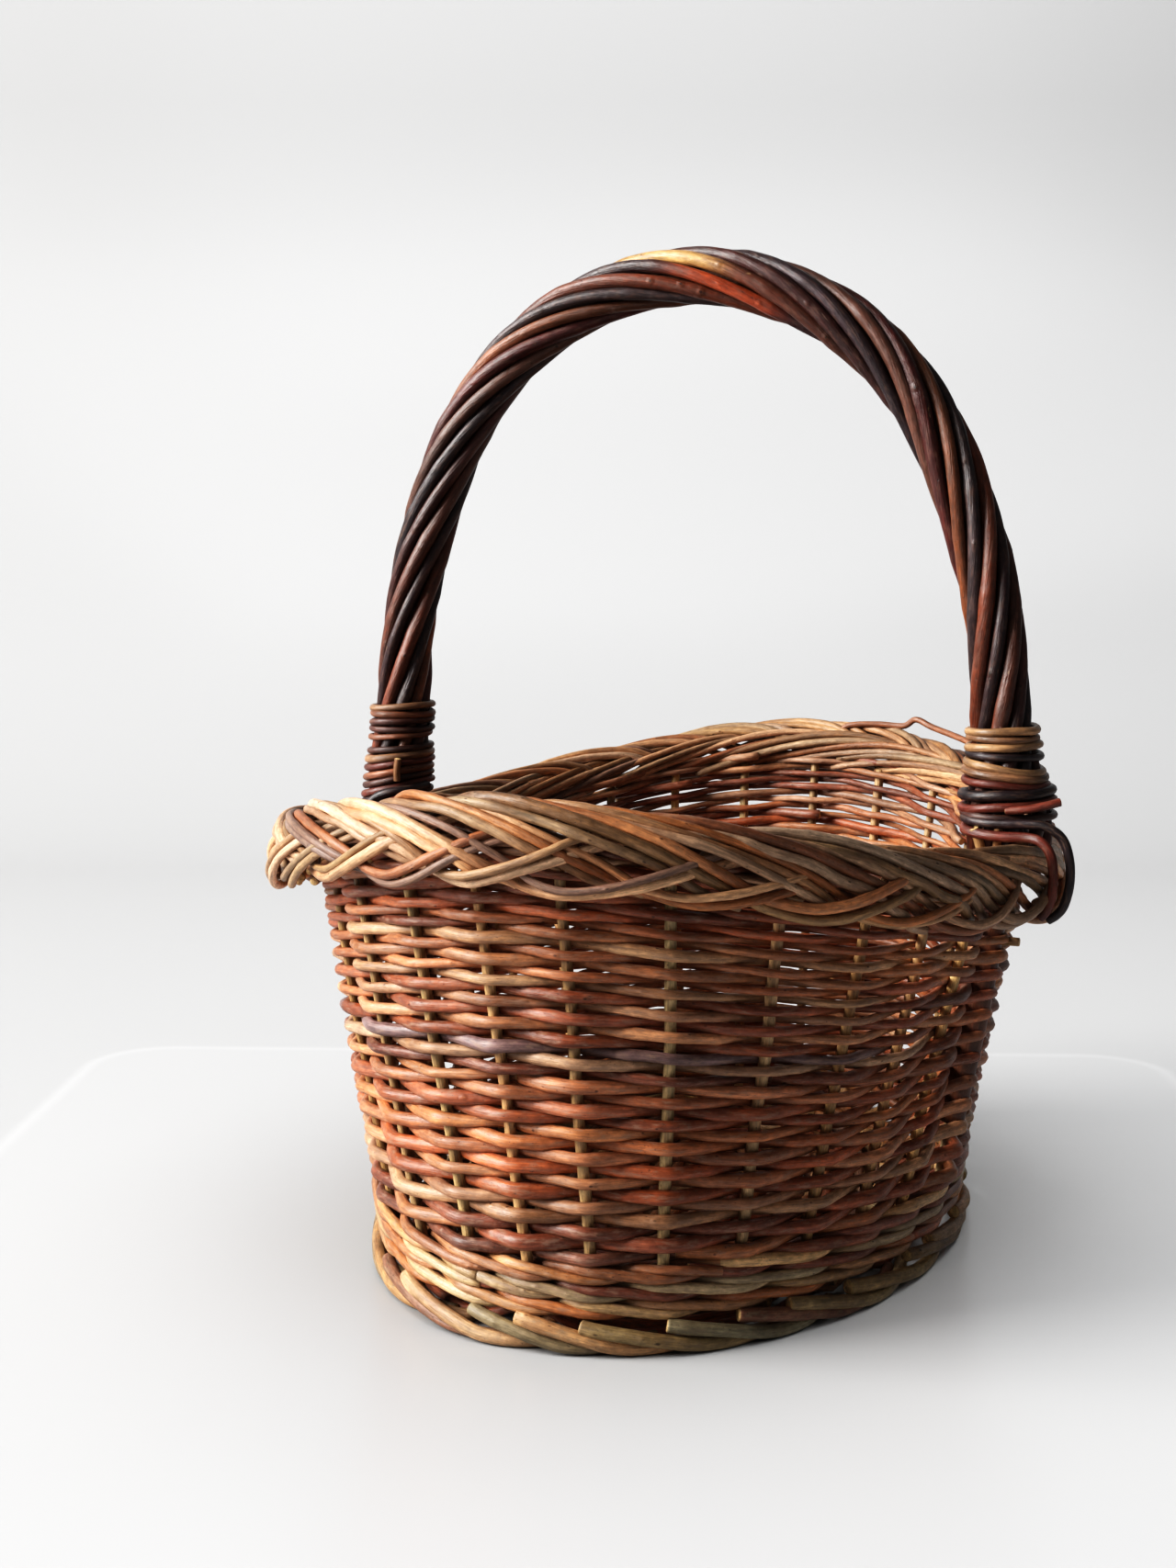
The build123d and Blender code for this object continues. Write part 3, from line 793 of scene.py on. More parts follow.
def makeBorder():
    # Every stroke is a group of rods on one route round the border's section: over the rim, down the
    # outer face, under the next rising rods, up the outer face, through the middle and down inside.
    # The third rod of a stroke stops under the border.
    rng = np.random.default_rng(51)
    groups, each = border["strokes"], border["rodsPerStroke"]
    count = groups * each
    group, member = np.divmod(np.arange(count), each)
    u = np.linspace(0, 1, border["points"])[None]
    stop = np.where(member == 2, rng.uniform(0.38, 0.44, count), rng.uniform(0.93, 1.0, count))[:, None]
    start = rng.uniform(0, 0.05, (count, 1))
    where = start + (stop - start) * u
    fine = through(border["route"], 600)
    grid = np.linspace(0, 1, 600)
    g = np.interp(where, grid, fine[:, 0]) + group[:, None] + rng.uniform(-0.07, 0.07, (count, 1))
    outU = np.interp(where, grid, fine[:, 1]) * mm
    upV = np.interp(where, grid, fine[:, 2]) * mm
    angle = np.interp(g, strokePlaces, strokeAngleTable)
    # Near a handle foot the rods part, and pass outside or inside the bow's leg.
    toLeg = (angle + np.pi / 2) % np.pi - np.pi / 2
    near = np.exp(-((toLeg * rim["halfY"] / border["legReach"]) ** 2))
    outU = outU + near * np.where(outU > border["legSplit"], *border["legShifts"]) * mm
    toPinch = (angle + np.pi) % (2 * np.pi) - np.pi - border["pinchPlace"]
    outU = outU - border["pinch"] * np.exp(-((toPinch / border["pinchReach"]) ** 2))
    outShift, upShift = border["groupShifts"]
    outU = outU + (rng.uniform(-1, 1, groups) * outShift)[group][:, None]
    upV = upV + (rng.uniform(-1, 1, groups) * upShift)[group][:, None]
    centre, normal = rimPoint(angle, outU, upV)
    radial = unit(normal * outU[..., None] + upward * upV[..., None] * 0.7)
    along = unit(np.gradient(centre, axis=1))
    spread = np.cross(along, radial)
    # On the top the rods of a stroke crowd together, and the middle one rides over the others.
    thickness = rng.uniform(border["thin"], border["thick"], (groups, each))
    thickness[:, 0] *= rng.uniform(0.85, 1.0, groups)
    first, second, third = thickness.T
    beside = np.stack([-(first + second), 0 * first, second + third], 1)
    crowd = np.exp(-(((where - 0.15) / 0.1) ** 2))
    lane = beside.reshape(-1, 1) * (1.12 - 0.36 * crowd)
    lane = lane * (1 + 0.1 * wave(rng, angle.shape, 2, 1, 3)) + 0.7 * mm * wave(rng, angle.shape, 3, 1, 7)
    lift = (member == 1)[:, None] * (0.2 + 2.2 * crowd) * mm + 0.9 * mm * wave(rng, angle.shape, 3, 1, 5)
    lift = lift + rng.uniform(-0.6, 0.6, (count, 1)) * mm
    centre = centre + unit(spread) * lane[..., None] + radial * lift[..., None]
    radius = thickness.reshape(-1, 1) * (1.1 - 0.2 * where)
    radius = knots(rng, centre, radius, border["knotSpacing"], 0.12)
    palette = (
        (176, 138, 108), (154, 120, 90), (188, 152, 122), (140, 112, 84),
        (162, 110, 74), (140, 90, 62), (128, 98, 82),
    )
    bark = pick(rng, palette, (6, 5, 4.5, 4, 3.4, 2.2, 2), count, 0.15)
    bark = mottle(rng, bark, angle.shape, 0.4, 0.5, 5, warmTint)
    for n in range(border["pieces"]):
        mine = group * border["pieces"] // groups == n
        name = f"borderRods{n + 1}"
        placeRods(
            name, centre[mine], radial[mine], radius[mine], bark[mine], border["sides"], 52 + n,
            borderBark, "willow_border", *(["border_plait"] if n == 0 else []),
        )


makeBorder()
print("border made")


crownLength = arch["crownRadius"] * arch["crownTurn"]
haunchLength = arch["haunchRadius"] * (arch["haunchTurn"] - arch["crownTurn"])
haunchShift = arch["crownRadius"] - arch["haunchRadius"]
haunchX = haunchShift * math.sin(arch["crownTurn"])
haunchZ = arch["top"] - arch["crownRadius"] + haunchShift * math.cos(arch["crownTurn"])
legX = haunchX + arch["haunchRadius"] * math.sin(arch["haunchTurn"])
legZ = haunchZ + arch["haunchRadius"] * math.cos(arch["haunchTurn"])


def legAt(z):
    # How far across a leg's middle is at a height.
    return legX + (legZ - z) / math.tan(arch["haunchTurn"])


def bowPoint(s):
    # Middle of the bow and its outward normal, a length s from the crown: an arc, a flatter arc on
    # each side of it, and straight legs.
    side = np.where(s < 0, -1.0, 1.0)
    run = abs(s)
    onHaunch = np.clip(run - crownLength, 0, haunchLength)
    onLeg = np.maximum(run - crownLength - haunchLength, 0)
    turn = np.minimum(run, crownLength) / arch["crownRadius"] + onHaunch / arch["haunchRadius"]
    crownX = arch["crownRadius"] * np.sin(turn)
    crownZ = arch["top"] - arch["crownRadius"] + arch["crownRadius"] * np.cos(turn)
    x = np.where(run <= crownLength, crownX, haunchX + arch["haunchRadius"] * np.sin(turn))
    z = np.where(run <= crownLength, crownZ, haunchZ + arch["haunchRadius"] * np.cos(turn))
    x = x + onLeg * math.cos(arch["haunchTurn"])
    z = z - onLeg * math.sin(arch["haunchTurn"])
    middle = np.stack([side * x, 0 * x, z], -1)
    outward = np.stack([side * np.sin(turn), 0 * x, np.cos(turn)], -1)
    return middle, outward


roping = {
    "count": 9,
    "reach": 9.7 * mm,
    "radius": 3.0 * mm,
    "pitch": 240 * mm,
    "endLevel": 170 * mm,
    "spreadLevel": 234 * mm,
    "spreadLength": 44 * mm,
    "spreadLeft": 1.6 * mm,
    "spreadRight": 5.4 * mm,
    "tuckLevel": 186 * mm,
    "tuckLength": 20 * mm,
    "tuck": 6 * mm,
    "knotSpacing": 55 * mm,
    "thickness": (1.0, 1.08, 0.94, 1.12, 1.0, 0.9, 1.08, 1.02, 0.98),
    # rod, place along from the crown, half length, colour
    "paleStretches": (
        (1, -8 * mm, 26 * mm, (190, 148, 96)), (2, 22 * mm, 26 * mm, (150, 72, 44)),
        (0, -52 * mm, 22 * mm, (140, 92, 62)), (5, 96 * mm, 24 * mm, (120, 76, 54)),
    ),
    "points": 300,
    "sides": 14,
}


def footSpread(z, side):
    # How much wider than elsewhere the bundle is near a foot.
    share = smooth((roping["spreadLevel"] - z) / roping["spreadLength"])
    return share * np.where(side > 0, roping["spreadRight"], roping["spreadLeft"])


def makeRoping():
    # Roping rods: helices round the bow, middle + reach * (cos t * outward + sin t * near side).
    rng = np.random.default_rng(61)
    count = roping["count"]
    length = crownLength + haunchLength + (legZ - roping["endLevel"]) / math.sin(arch["haunchTurn"])
    s = np.linspace(-length, length, roping["points"])[None] + np.zeros((count, 1))
    middle, outward = bowPoint(s)
    step = 2 * np.pi / count
    turn = 2 * np.pi * s / roping["pitch"] + np.arange(count)[:, None] * step
    turn = turn + 0.1 * wave(rng, s.shape, 3, 1, 4)
    offset = outward * np.cos(turn)[..., None] + nearSide * np.sin(turn)[..., None]
    reach = roping["reach"] + footSpread(middle[..., 2], np.where(s > 0, 1, -1))
    tuck = roping["tuck"] * smooth((roping["tuckLevel"] - middle[..., 2]) / roping["tuckLength"])
    reach = reach - tuck + 0.4 * mm * wave(rng, s.shape, 4, 2, 9)
    centre = middle + offset * reach[..., None]
    size = roping["radius"] * np.array(roping["thickness"])[:, None]
    radius = size * (1 + 0.08 * wave(rng, s.shape, 3, 0.5, 2))
    radius = knots(rng, centre, radius, roping["knotSpacing"], 0.1)
    palette = (
        (64, 36, 32), (80, 46, 34), (52, 34, 34), (98, 54, 38), (56, 44, 44),
        (108, 66, 44), (70, 34, 30), (84, 56, 46), (48, 36, 38),
    )
    bark = linear(palette)[:, None] * (1 + 0.55 * wave(rng, s.shape, 4, 0.5, 7))[..., None]
    for n, where, half, colour in roping["paleStretches"]:
        share = np.exp(-(((s[n] - where) / half) ** 4))[:, None]
        bark[n] = bark[n] * (1 - share) + linear(colour) * share
    for n in range(count):
        one = slice(n, n + 1)
        name = f"ropingRod{n + 1}"
        placeRods(
            name, centre[one], offset[one], radius[one], bark[one], roping["sides"], 62 + n,
            ropingBark, "willow_roping", f"handle_rod_{n + 1}",
        )


makeRoping()
print("roping made")


bow = {
    "radius": 6.1 * mm,
    "archEnd": 186 * mm,
    # across and up in millimetres, from the arch down inside the wall
    "ends": ((149.3, 176), (147.6, 166), (144.6, 156), (142.2, 144), (137.6, 112), (128.5, 62)),
    "endPoints": 60,
    "nearLean": 0.08,
    "leanLevel": 160 * mm,
    "bark": (92, 58, 42),
    "points": 220,
    "sides": 20,
}


def makeBow():
    # The bow itself shows between the roping rods and goes down inside the wall. Its right end also
    # leans toward the near side there, with the uprights.
    arm = crownLength + haunchLength + (legZ - bow["archEnd"]) / math.sin(arch["haunchTurn"])
    middle, _ = bowPoint(np.linspace(-arm, arm, bow["points"]))
    x, z = (through(bow["ends"], bow["endPoints"]) * mm).T
    right = np.stack([x, bow["nearLean"] * np.minimum(z - bow["leanLevel"], 0), z], -1)
    left = right[::-1] * [-1, 0, 1]
    centre = np.concatenate([left, middle, right])[None]
    radius = np.full(centre.shape[:2], bow["radius"])
    placeRods(
        "bowRod", centre, nearSide, radius, linear([bow["bark"]]), bow["sides"], 91,
        ropingBark, "willow_bow", "handle_bow",
    )


makeBow()
print("bow made")


base = {
    "longPlaces": (-24 * mm, 0, 24 * mm),
    "longRadius": 3.0 * mm,
    "longBark": (132, 98, 68),
    "longSides": 12,
    "crossCount": 7,
    "crossSpacing": 36 * mm,
    "crossRadius": 4.5 * mm,
    "crossBark": (146, 112, 78),
    "crossSides": 14,
    "stickPoints": 24,
    "stickInset": 2 * mm,
    "level": 9.2 * mm,
    "narrow": 0.945,
    "halfX": (7 * mm, 117 * mm),  # of the inmost and outmost ring
    "halfY": (57 * mm, 162 * mm),
    "rings": 26,
    "rodRadius": 2.15 * mm,
    "swing": 5.6 * mm,
    "points": 260,
    "sides": 8,
}


def makeBase():
    # Sticks both ways, and oval rings of weaving that pass over and under them in turn: the height is
    # level + swing * a sign at each stick that a ring meets, joined by straight lines.
    rng = np.random.default_rng(95)
    outX, outY = base["halfX"][1] - base["stickInset"], base["halfY"][1] - base["stickInset"]
    u = np.linspace(-1, 1, base["stickPoints"])

    def makeStick(kind, n, x, y, bend, radius, seed):
        centre = np.stack([base["narrow"] * x + 0 * u, y + 0 * u, base["level"] + bend], -1)[None]
        bark, sides = linear([base[kind + "Bark"]]), base[kind + "Sides"]
        placeRods(
            f"{kind}Stick{n + 1}", centre, upward, radius, bark, sides, seed + n,
            footBark, "willow_base", f"base_{kind}_stick_{n + 1}",
        )

    for n, x in enumerate(base["longPlaces"]):
        half = outY * math.sqrt(1 - (x / outX) ** 2)
        radius = np.full((1, len(u)), base["longRadius"])
        makeStick("long", n, x, half * u, 0.4 * mm * np.sin(5 * u), radius, 96)
    levels = (np.arange(base["crossCount"]) - base["crossCount"] // 2) * base["crossSpacing"]
    for n, y in enumerate(levels):
        half = outX * math.sqrt(1 - (y / outY) ** 2)
        radius = base["crossRadius"] * (1 - 0.12 * u[None] ** 2)
        makeStick("cross", n, half * u, y, 0.3 * mm * np.sin(4 * u + n), radius, 101)
    ring = np.arange(base["rings"])[:, None]
    share = ring / (base["rings"] - 1)
    halfX = base["halfX"][0] + (base["halfX"][1] - base["halfX"][0]) * share
    halfY = base["halfY"][0] + (base["halfY"][1] - base["halfY"][0]) * share
    start = rng.uniform(0, 2 * np.pi, (base["rings"], 1))
    t = start + np.linspace(0, 2 * np.pi + 0.06, base["points"])[None]
    x, y = halfX * np.cos(t), halfY * np.sin(t)
    crossSign = np.interp(y, levels, (-1.0) ** np.arange(len(levels)))
    longSign = np.interp(x, base["longPlaces"], (1.0, -1.0, 1.0))
    atEnd = smooth((abs(y) - levels[-1] * 0.96) / (14 * mm))
    sign = (crossSign * (1 - atEnd) + longSign * atEnd) * (-1.0) ** ring
    z = base["level"] + base["swing"] * sign + 0.4 * mm * wave(rng, t.shape, 3, 3, 20)
    centre = np.stack([base["narrow"] * x, y, z], -1)
    outward = np.stack([np.cos(t) / halfX, np.sin(t) / halfY, 0 * t], -1)
    radius = base["rodRadius"] * rng.uniform(0.9, 1.1, (base["rings"], 1))
    radius = radius * (1 + 0.1 * wave(rng, t.shape, 3, 1, 6))
    palette = ((150, 92, 62), (158, 112, 76), (132, 76, 54), (122, 96, 80), (166, 134, 98))
    bark = pick(rng, palette, (4, 4, 3, 2, 2), base["rings"], 0.15)
    bark = mottle(rng, bark, t.shape, 0.35, 1, 8, calmTint)
    placeRods(
        "baseWeaving", centre, outward, radius, bark, base["sides"], 110,
        weaverBark, "willow_base", "base_weave",
    )


makeBase()
print("base made")


binding = {
    "gap": 3.1 * mm,
    "radius": 1.75 * mm,
    "slope": 2.4 * mm,  # from a turn's start to its end
    "points": 90,
    "sides": 10,
    # height at the near side, slope across, bark number and thickness, from the top down
    "left": (
        (233.8, 0.4, 1, 0.95), (230.4, -0.4, 2, 1.0), (226.8, 0.3, 4, 1.0), (223.2, -0.3, 4, 0.9),
        (219.8, 0.5, 2, 0.8), (213.4, 1.0, 4, 0.9), (209.6, 1.4, 1, 1.1), (205.9, 2.0, 3, 1.0),
        (202.0, 2.6, 2, 1.05), (198.2, 3.2, 4, 1.0), (194.2, 3.6, 3, 1.1), (190.4, 3.0, 5, 1.0),
    ),
    "right": (
        (233.0, 0.2, 0, 1.05), (229.6, -0.6, 1, 0.9), (226.2, 0.4, 0, 1.05), (222.4, -0.8, 5, 0.95),
        (217.6, -2.8, 0, 1.0), (214.4, -2.2, 1, 1.1), (210.8, -1.6, 3, 1.05), (206.4, 0.8, 5, 1.35),
        (201.6, 1.6, 3, 1.15), (197.6, -0.6, 4, 0.9),
    ),
}
bindingBarks = ((150, 116, 84), (126, 94, 70), (118, 76, 56), (96, 48, 38), (70, 44, 38), (46, 36, 38))


def makeBinding(sideName, side):
    # Turns of thin willow round a leg: circles outside the roping rods, each with its own slope.
    rng = np.random.default_rng(71 + side)
    turnsMade = np.array(binding[sideName])
    count = len(turnsMade)
    u = np.linspace(0, 1, binding["points"])[None]
    turn = np.radians(100 + 380 * u) + rng.uniform(-0.4, 0.4, (count, 1))
    z = turnsMade[:, :1] * mm
    x = side * legAt(z)
    radius = binding["radius"] * turnsMade[:, 3:4] * (1.05 - 0.1 * u)
    tilt = turnsMade[:, 1:2] * mm
    lift = tilt * np.cos(turn) + (u - 0.5) * binding["slope"] + 0.3 * mm * wave(rng, turn.shape, 3, 1, 5)
    reach = roping["reach"] + footSpread(z, side) + binding["gap"] + 0.8 * radius
    reach = reach + 0.5 * mm * wave(rng, turn.shape, 3, 1, 5) + 1.8 * mm * smooth(u * 8 - 7)
    outward = np.stack([np.cos(turn), np.sin(turn), 0 * turn], -1)
    centre = outward * reach[..., None] + np.stack([x + 0 * turn, 0 * turn, z + lift], -1)
    bark = linear(bindingBarks)[turnsMade[:, 2].astype(int)][:, None]
    bark = bark * (1 + 0.5 * wave(rng, turn.shape, 3, 0.5, 4))[..., None]
    placeRods(
        f"bindingTurns{sideName.capitalize()}", centre, outward, radius, bark, binding["sides"], 73 + side,
        bindingBark, "willow_binding", f"handle_wrap_{sideName}",
    )


makeBinding("left", -1)
makeBinding("right", 1)


tails = {
    "radius": 2.15 * mm,
    "points": 90,
    "sides": 12,
    # across, along and up in millimetres, outward from the leg
    "dark": (
        (131, -3, 196), (134, -13, 195.6), (143, -19, 195), (152, -20.5, 195.2), (161, -20.5, 195.6),
        (169, -21, 195), (176, -21.6, 190.6), (179.2, -22, 182), (179.6, -22, 172), (177.6, -22, 163),
        (174.6, -22, 158.6), (171, -22, 156),
    ),
    "red": (
        (131.5, -4, 191.4), (134, -14.4, 191), (143, -20.6, 190.2), (152, -22.4, 190), (161, -22.6, 190.2),
        (167.6, -24.6, 189.2), (172, -26, 184.4), (173.6, -26.4, 176), (173.2, -26.6, 167),
        (171.4, -26.6, 161), (168.6, -26.4, 157.4),
    ),
    "darkShort": (
        (131, -3, 196), (134, -13, 195.2), (142, -18.5, 194), (150, -19.5, 191), (156, -19.5, 185),
        (159, -19, 177),
    ),
    "redShort": (
        (131.5, -4, 191.4), (134, -14.4, 191), (141, -20.6, 189.4), (147, -21.6, 186), (150.5, -21.6, 180),
        (152, -21, 173),
    ),
}


def makeTails(sideName, side):
    # Ends of the binding pass the leg and go over the border. On the right they run down its outside
    # and are tucked under it, and on the left they end in it.
    rng = np.random.default_rng(81 + side)
    ending = "" if side > 0 else "Short"
    for n, (route, bark) in enumerate((("dark", bindingBarks[5]), ("red", bindingBarks[3]))):
        centre = through(tails[route + ending], tails["points"])[None] * mm
        centre[..., 0] *= side
        radius = np.linspace(1.05, 0.9, tails["points"])[None] * tails["radius"]
        colour = linear([bark])[:, None] * (1 + 0.5 * wave(rng, radius.shape, 3, 0.5, 4))[..., None]
        name = f"bindingTail{sideName.capitalize()}{n + 1}"
        placeRods(
            name, centre, nearSide, radius, colour, tails["sides"], 85 + n,
            bindingBark, "willow_binding", f"handle_tail_{sideName}_{n + 1}",
        )


makeTails("left", -1)
makeTails("right", 1)
print("bindings made")


strays = {
    "points": 60,
    "sides": 10,
    # piece, radius, bark, then across, along, up in millimetres
    "stubs": (
        ("stubFoot1", 2.1, (160, 128, 92), ((141, -16.5, 184), (140, -17.5, 188), (138.5, -18.6, 192.4))),
        ("stubFoot2", 1.9, (150, 112, 78), ((148, -17, 184), (148.4, -18, 189), (149, -19, 193.6))),
        ("stubWrap1", 1.9, (104, 54, 42), (
            (152, -19, 200.6), (160, -19.4, 201.6), (168, -18, 203.4), (173.6, -15.6, 205),
        )),
        ("twigFar", 1.7, (140, 92, 66), (
            (10, 205, 208), (17.4, 203, 213.2), (34, 201.5, 214.6), (48.7, 199, 214.4), (56, 197, 218.2),
            (66.4, 192, 214.8), (89.3, 176, 209.3), (100, 168, 203),
        )),
        ("stubWrap2", 1.7, (128, 92, 64), (
            (-140.6, -15.6, 199), (-140.3, -16.4, 204), (-139.4, -16.6, 209.5),
        )),
    ),
}


def makeStrays():
    # Cut ends stand out of the bindings, and one twig has sprung up from the far border.
    for n, (name, thickness, bark, route) in enumerate(strays["stubs"]):
        centre = through(route, strays["points"])[None] * mm
        radius = np.full(centre.shape[:2], thickness * mm)
        placeRods(
            name, centre, nearSide, radius, linear([bark]), strays["sides"], 131 + n,
            bindingBark, "willow_binding",
        )


makeStrays()
print("strays made")


pegs = {
    "radius": 1.9 * mm,
    "length": 27 * mm,
    "level": 142 * mm,
    "near": -2 * mm,
    "bark": (150, 120, 86),
    "points": 12,
    "sides": 12,
}


def makePegs():
    # A level peg through each leg holds it in the wall.
    middle = wall["halfX"] * (1 + wall["flare"] * (pegs["level"] - wall["level"]))
    u = np.linspace(-0.5, 0.5, pegs["points"])[None]
    for n, (sideName, side) in enumerate((("left", -1), ("right", 1))):
        x = side * (middle + u * pegs["length"])
        centre = np.stack([x, max(side, 0) * pegs["near"] + 0 * u, pegs["level"] + 0 * u], -1)
        radius = pegs["radius"] * (1.05 - 0.15 * u)
        name = f"peg{sideName.capitalize()}"
        placeRods(
            name, centre, upward, radius, linear([pegs["bark"]]), pegs["sides"], 121 + n,
            borderBark, "willow_stake", f"handle_peg_{sideName}",
        )


makePegs()
print("pegs made")


stage = {
    "bendRadius": 0.9,
    "depth": 1.0,
    "front": -3.0,
    "width": 8.0,
    "height": 5.0,
    "roughness": 0.28,
    "specular": 0.3,
    "bounce": 0.2,  # tone that the light sees
    "shown": 0.275,  # tone that the camera sees
    "yaw": math.radians(23.948),
    "tableTurn": math.radians(2),
    "tableEdge": 0.303,
    "tableMiddle": -0.031,
    "tableHalf": 0.321,
    "corner": 0.045,
    "edgeWidth": 0.006,
    # share by which the floor's colour is made paler along the table's edge: a painted highlight
    "edgeShine": 0.1,
    "beyond": 0.055,
}


def makeFloor():
    # Floor that curves up into a wall: flat, a quarter circle, then upright. Its table's edge is a
    # faint painted highlight, a pale line in the floor's colour, and past it the backdrop is a little
    # darker.
    radius, depth, width, yaw = stage["bendRadius"], stage["depth"], stage["width"], stage["yaw"]
    bend = np.linspace(0, np.pi / 2, 33)
    y = np.concatenate([[stage["front"]], depth + radius * np.sin(bend), [depth + radius]])
    z = np.concatenate([[0.0], radius * (1 - np.cos(bend)), [stage["height"]]])
    across, deep = np.meshgrid(np.array([-width, width]), y)
    lift = np.repeat(z[:, None], 2, 1)
    x = across * math.cos(yaw) - deep * math.sin(yaw)
    y = across * math.sin(yaw) + deep * math.cos(yaw)
    mesh = bpy.data.meshes.new("floor")
    first = np.arange(len(z) - 1)[:, None] * 2
    faces = first + np.array([0, 1, 3, 2])
    mesh.from_pydata(np.stack([x, y, lift], -1).reshape(-1, 3).tolist(), [], faces.tolist())
    mesh.shade_smooth()
    material = bpy.data.materials.new("floorWhite")
    material.use_nodes = True
    nodes, links = material.node_tree.nodes, material.node_tree.links
    shader = nodes["Principled BSDF"]
    shader.inputs["Roughness"].default_value = stage["roughness"]
    shader.inputs["Specular IOR Level"].default_value = stage["specular"]
    # The floor is seen brighter than the light that it throws back up at the basket.
    lightPath = nodes.new("ShaderNodeLightPath")
    tone = nodes.new("ShaderNodeMix")
    tone.data_type = "RGBA"
    tone.inputs[6].default_value = (*[stage["bounce"]] * 3, 1)
    geometry = nodes.new("ShaderNodeNewGeometry")

    def measure(direction):
        node = nodes.new("ShaderNodeVectorMath")
        node.operation = "DOT_PRODUCT"
        node.inputs[1].default_value = direction
        links.new(geometry.outputs["Position"], node.inputs[0])
        return node.outputs["Value"]

    def figure(operation, *values, limited=False):
        node = nodes.new("ShaderNodeMath")
        node.operation = operation
        node.use_clamp = limited
        for socket, value in zip(node.inputs, values):
            if isinstance(value, bpy.types.NodeSocket):
                links.new(value, socket)
            else:
                socket.default_value = value
        return node.outputs[0]

    # The table is a slab with round corners. The distance to it is the length of the parts past its
    # straight edges, less the corner.
    turn = yaw - stage["tableTurn"]
    corner = stage["corner"]
    sideways = measure((math.cos(turn), math.sin(turn), 0))
    deepness = measure((-math.sin(turn), math.cos(turn), 0))
    overSide = figure("ABSOLUTE", figure("SUBTRACT", sideways, stage["tableMiddle"]))
    overSide = figure("SUBTRACT", overSide, stage["tableHalf"] - corner)
    overFar = figure("SUBTRACT", deepness, stage["tableEdge"] - corner)
    past = figure("POWER", figure("MAXIMUM", overSide, 0), 2)
    past = figure("ADD", past, figure("POWER", figure("MAXIMUM", overFar, 0), 2))
    within = figure("MINIMUM", figure("MAXIMUM", overSide, overFar), 0)
    distance = figure("SUBTRACT", figure("ADD", figure("SQRT", past), within), corner)
    step = figure("DIVIDE", distance, stage["edgeWidth"])
    # Along the table's edge the floor's colour is made paler: a painted highlight where the edge catches the
    # light.
    shine = figure("SUBTRACT", 1, figure("ABSOLUTE", step), limited=True)
    outside = figure("MULTIPLY", step, 1, limited=True)
    shown = figure("MULTIPLY", shine, stage["edgeShine"])
    shown = figure("SUBTRACT", shown, figure("MULTIPLY", outside, stage["beyond"]))
    shown = figure("MULTIPLY", figure("ADD", shown, 1), stage["shown"])
    links.new(shown, tone.inputs[7])
    links.new(lightPath.outputs["Is Camera Ray"], tone.inputs[0])
    links.new(tone.outputs[2], shader.inputs["Base Color"])
    mesh.materials.append(material)
    floor = bpy.data.objects.new("floor", mesh)
    bpy.context.scene.collection.objects.link(floor)
    return floor


def makeLight(name, position, target, size, power, colour):
    # A rectangular lamp that faces a point and isn't seen itself.
    lamp = bpy.data.lights.new(name, "AREA")
    lamp.shape = "RECTANGLE"
    lamp.size, lamp.size_y = size
    lamp.energy = power
    lamp.color = colour
    holder = bpy.data.objects.new(name, lamp)
    holder.location = position
    holder.rotation_euler = (Vector(target) - Vector(position)).to_track_quat("-Z", "Y").to_euler()
    holder.visible_camera = False
    bpy.context.scene.collection.objects.link(holder)
    return holder


camera = {
    "sensor": 36,
    "lens": 46.66,
    "nearest": 0.01,
    "position": (0.33418, -0.86000, 0.31248),
    "yaw": stage["yaw"],
    "pitch": math.radians(6.808),
}


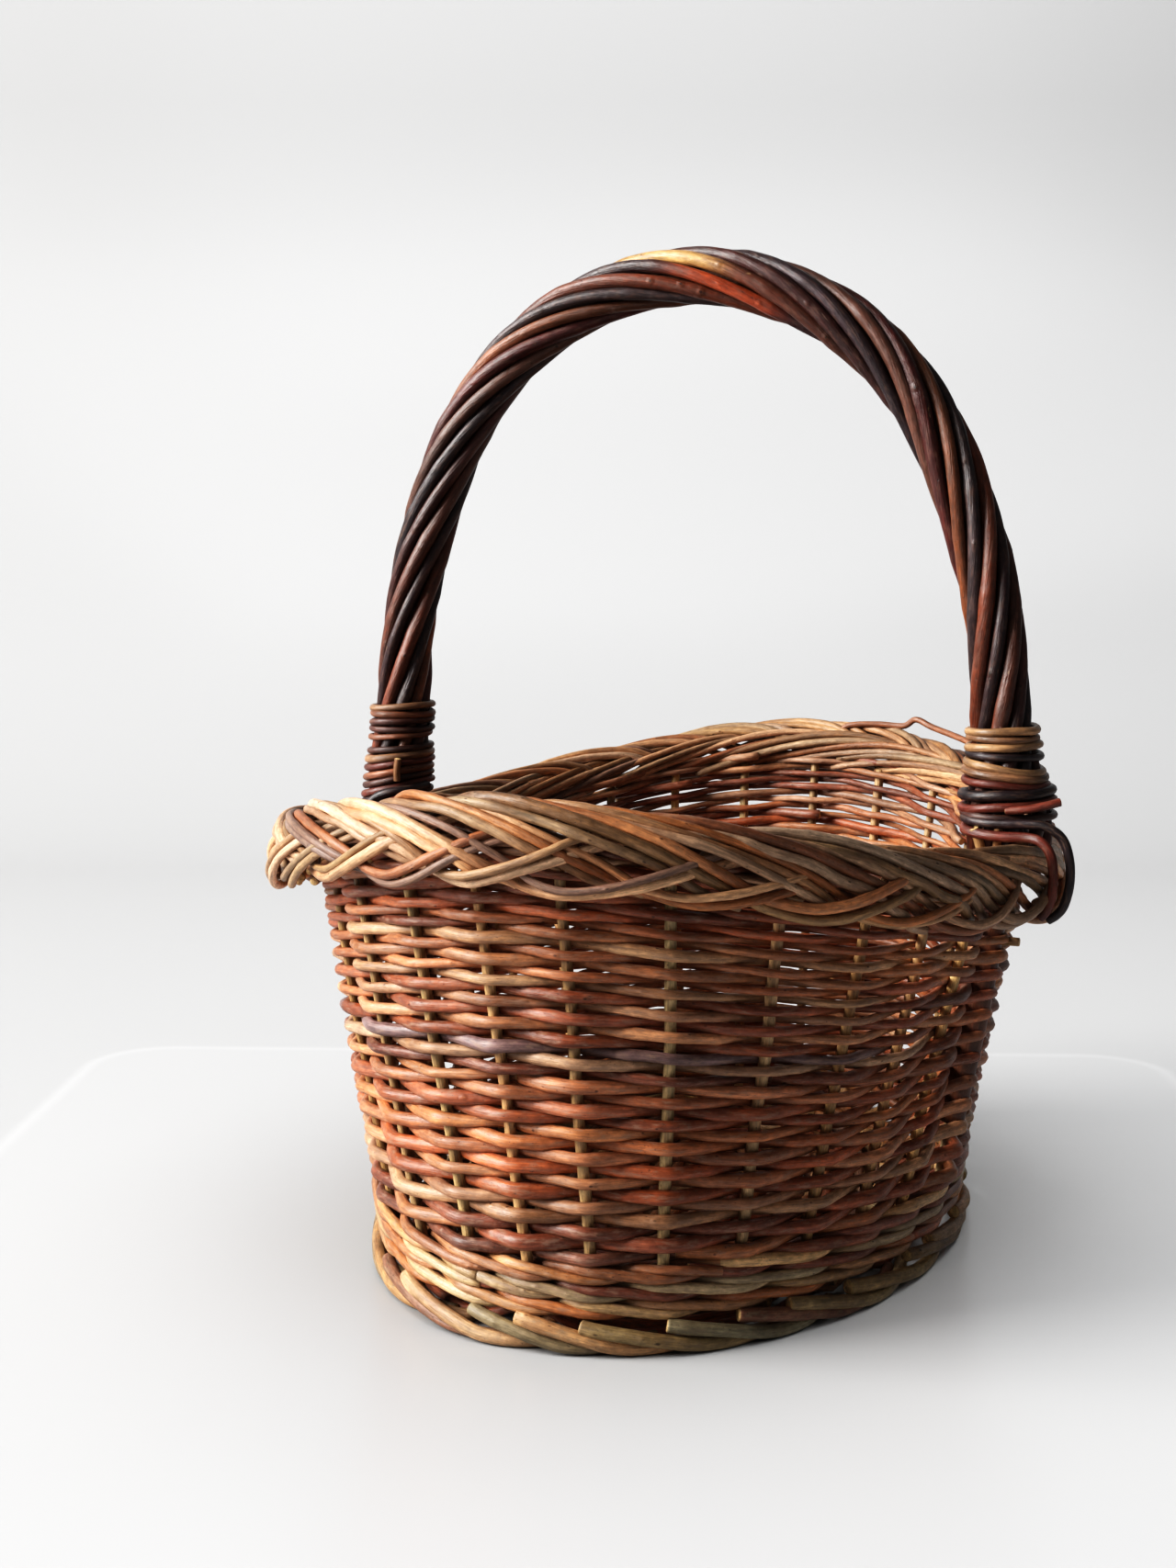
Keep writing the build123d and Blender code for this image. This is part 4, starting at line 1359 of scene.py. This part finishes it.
def makeCamera():
    # The camera looks turned by the yaw and down by the pitch.
    device = bpy.data.cameras.new("camera")
    device.sensor_width = camera["sensor"]
    device.lens = camera["lens"]
    device.clip_start = camera["nearest"]
    holder = bpy.data.objects.new("camera", device)
    holder.location = camera["position"]
    yaw, pitch = camera["yaw"], camera["pitch"]
    forward = (-math.sin(yaw) * math.cos(pitch), math.cos(yaw) * math.cos(pitch), -math.sin(pitch))
    holder.rotation_euler = Vector(forward).to_track_quat("-Z", "Y").to_euler()
    bpy.context.scene.collection.objects.link(holder)
    bpy.context.scene.camera = holder


lights = {
    # of a lamp: position, target, size, power
    "windowLight": ((-2.9, -2.0, 1.9), (0, 0, 0.2), (2.2, 2.2), 420),
    "tableLight": ((0.1, 0.2, 2.6), (0.1, 0.2, 0), (3.4, 3.4), 135),
    "backdropLight": ((0.4, -0.6, 2.0), (0.1, 1.9, 0.9), (2.5, 2.5), 62),
    "windowColour": (1.0, 0.985, 0.965),
    "floorColour": (0.985, 0.99, 1.0),
    "skyColour": (0.96, 0.98, 1.0, 1),
    "skyLevel": 0.16,
    "skyShown": 0.8,
    # a print's contrast: deeper darks, and whites that roll off gently
    "toneCurve": ((0.03, 0.012), (0.1, 0.06), (0.25, 0.215), (0.5, 0.52), (0.8, 0.84)),
}


floor = makeFloor()
makeLight("windowLight", *lights["windowLight"], lights["windowColour"])
# Two lamps light only the floor and the wall behind, so they stay bright beside the basket's dark side.
onlyFloor = bpy.data.collections.new("onlyFloor")
onlyFloor.objects.link(floor)
for name in ("tableLight", "backdropLight"):
    lamp = makeLight(name, *lights[name], lights["floorColour"])
    lamp.light_linking.receiver_collection = onlyFloor
makeCamera()
world = bpy.data.worlds.new("studio")
world.use_nodes = True
# The world is pale where the camera sees it, and lights the basket only a little.
sky = world.node_tree.nodes["Background"]
sky.inputs["Color"].default_value = lights["skyColour"]
lightPath = world.node_tree.nodes.new("ShaderNodeLightPath")
skyLevel = world.node_tree.nodes.new("ShaderNodeMapRange")
skyLevel.inputs["To Min"].default_value = lights["skyLevel"]
skyLevel.inputs["To Max"].default_value = lights["skyShown"]
world.node_tree.links.new(lightPath.outputs["Is Camera Ray"], skyLevel.inputs["Value"])
world.node_tree.links.new(skyLevel.outputs["Result"], sky.inputs["Strength"])
bpy.context.scene.world = world
view = bpy.context.scene.view_settings
view.view_transform = "Standard"
view.use_curve_mapping = True
toneCurve = view.curve_mapping.curves[3]
for level, shown in lights["toneCurve"]:
    toneCurve.points.new(level, shown)
view.curve_mapping.update()

print("scene ready")
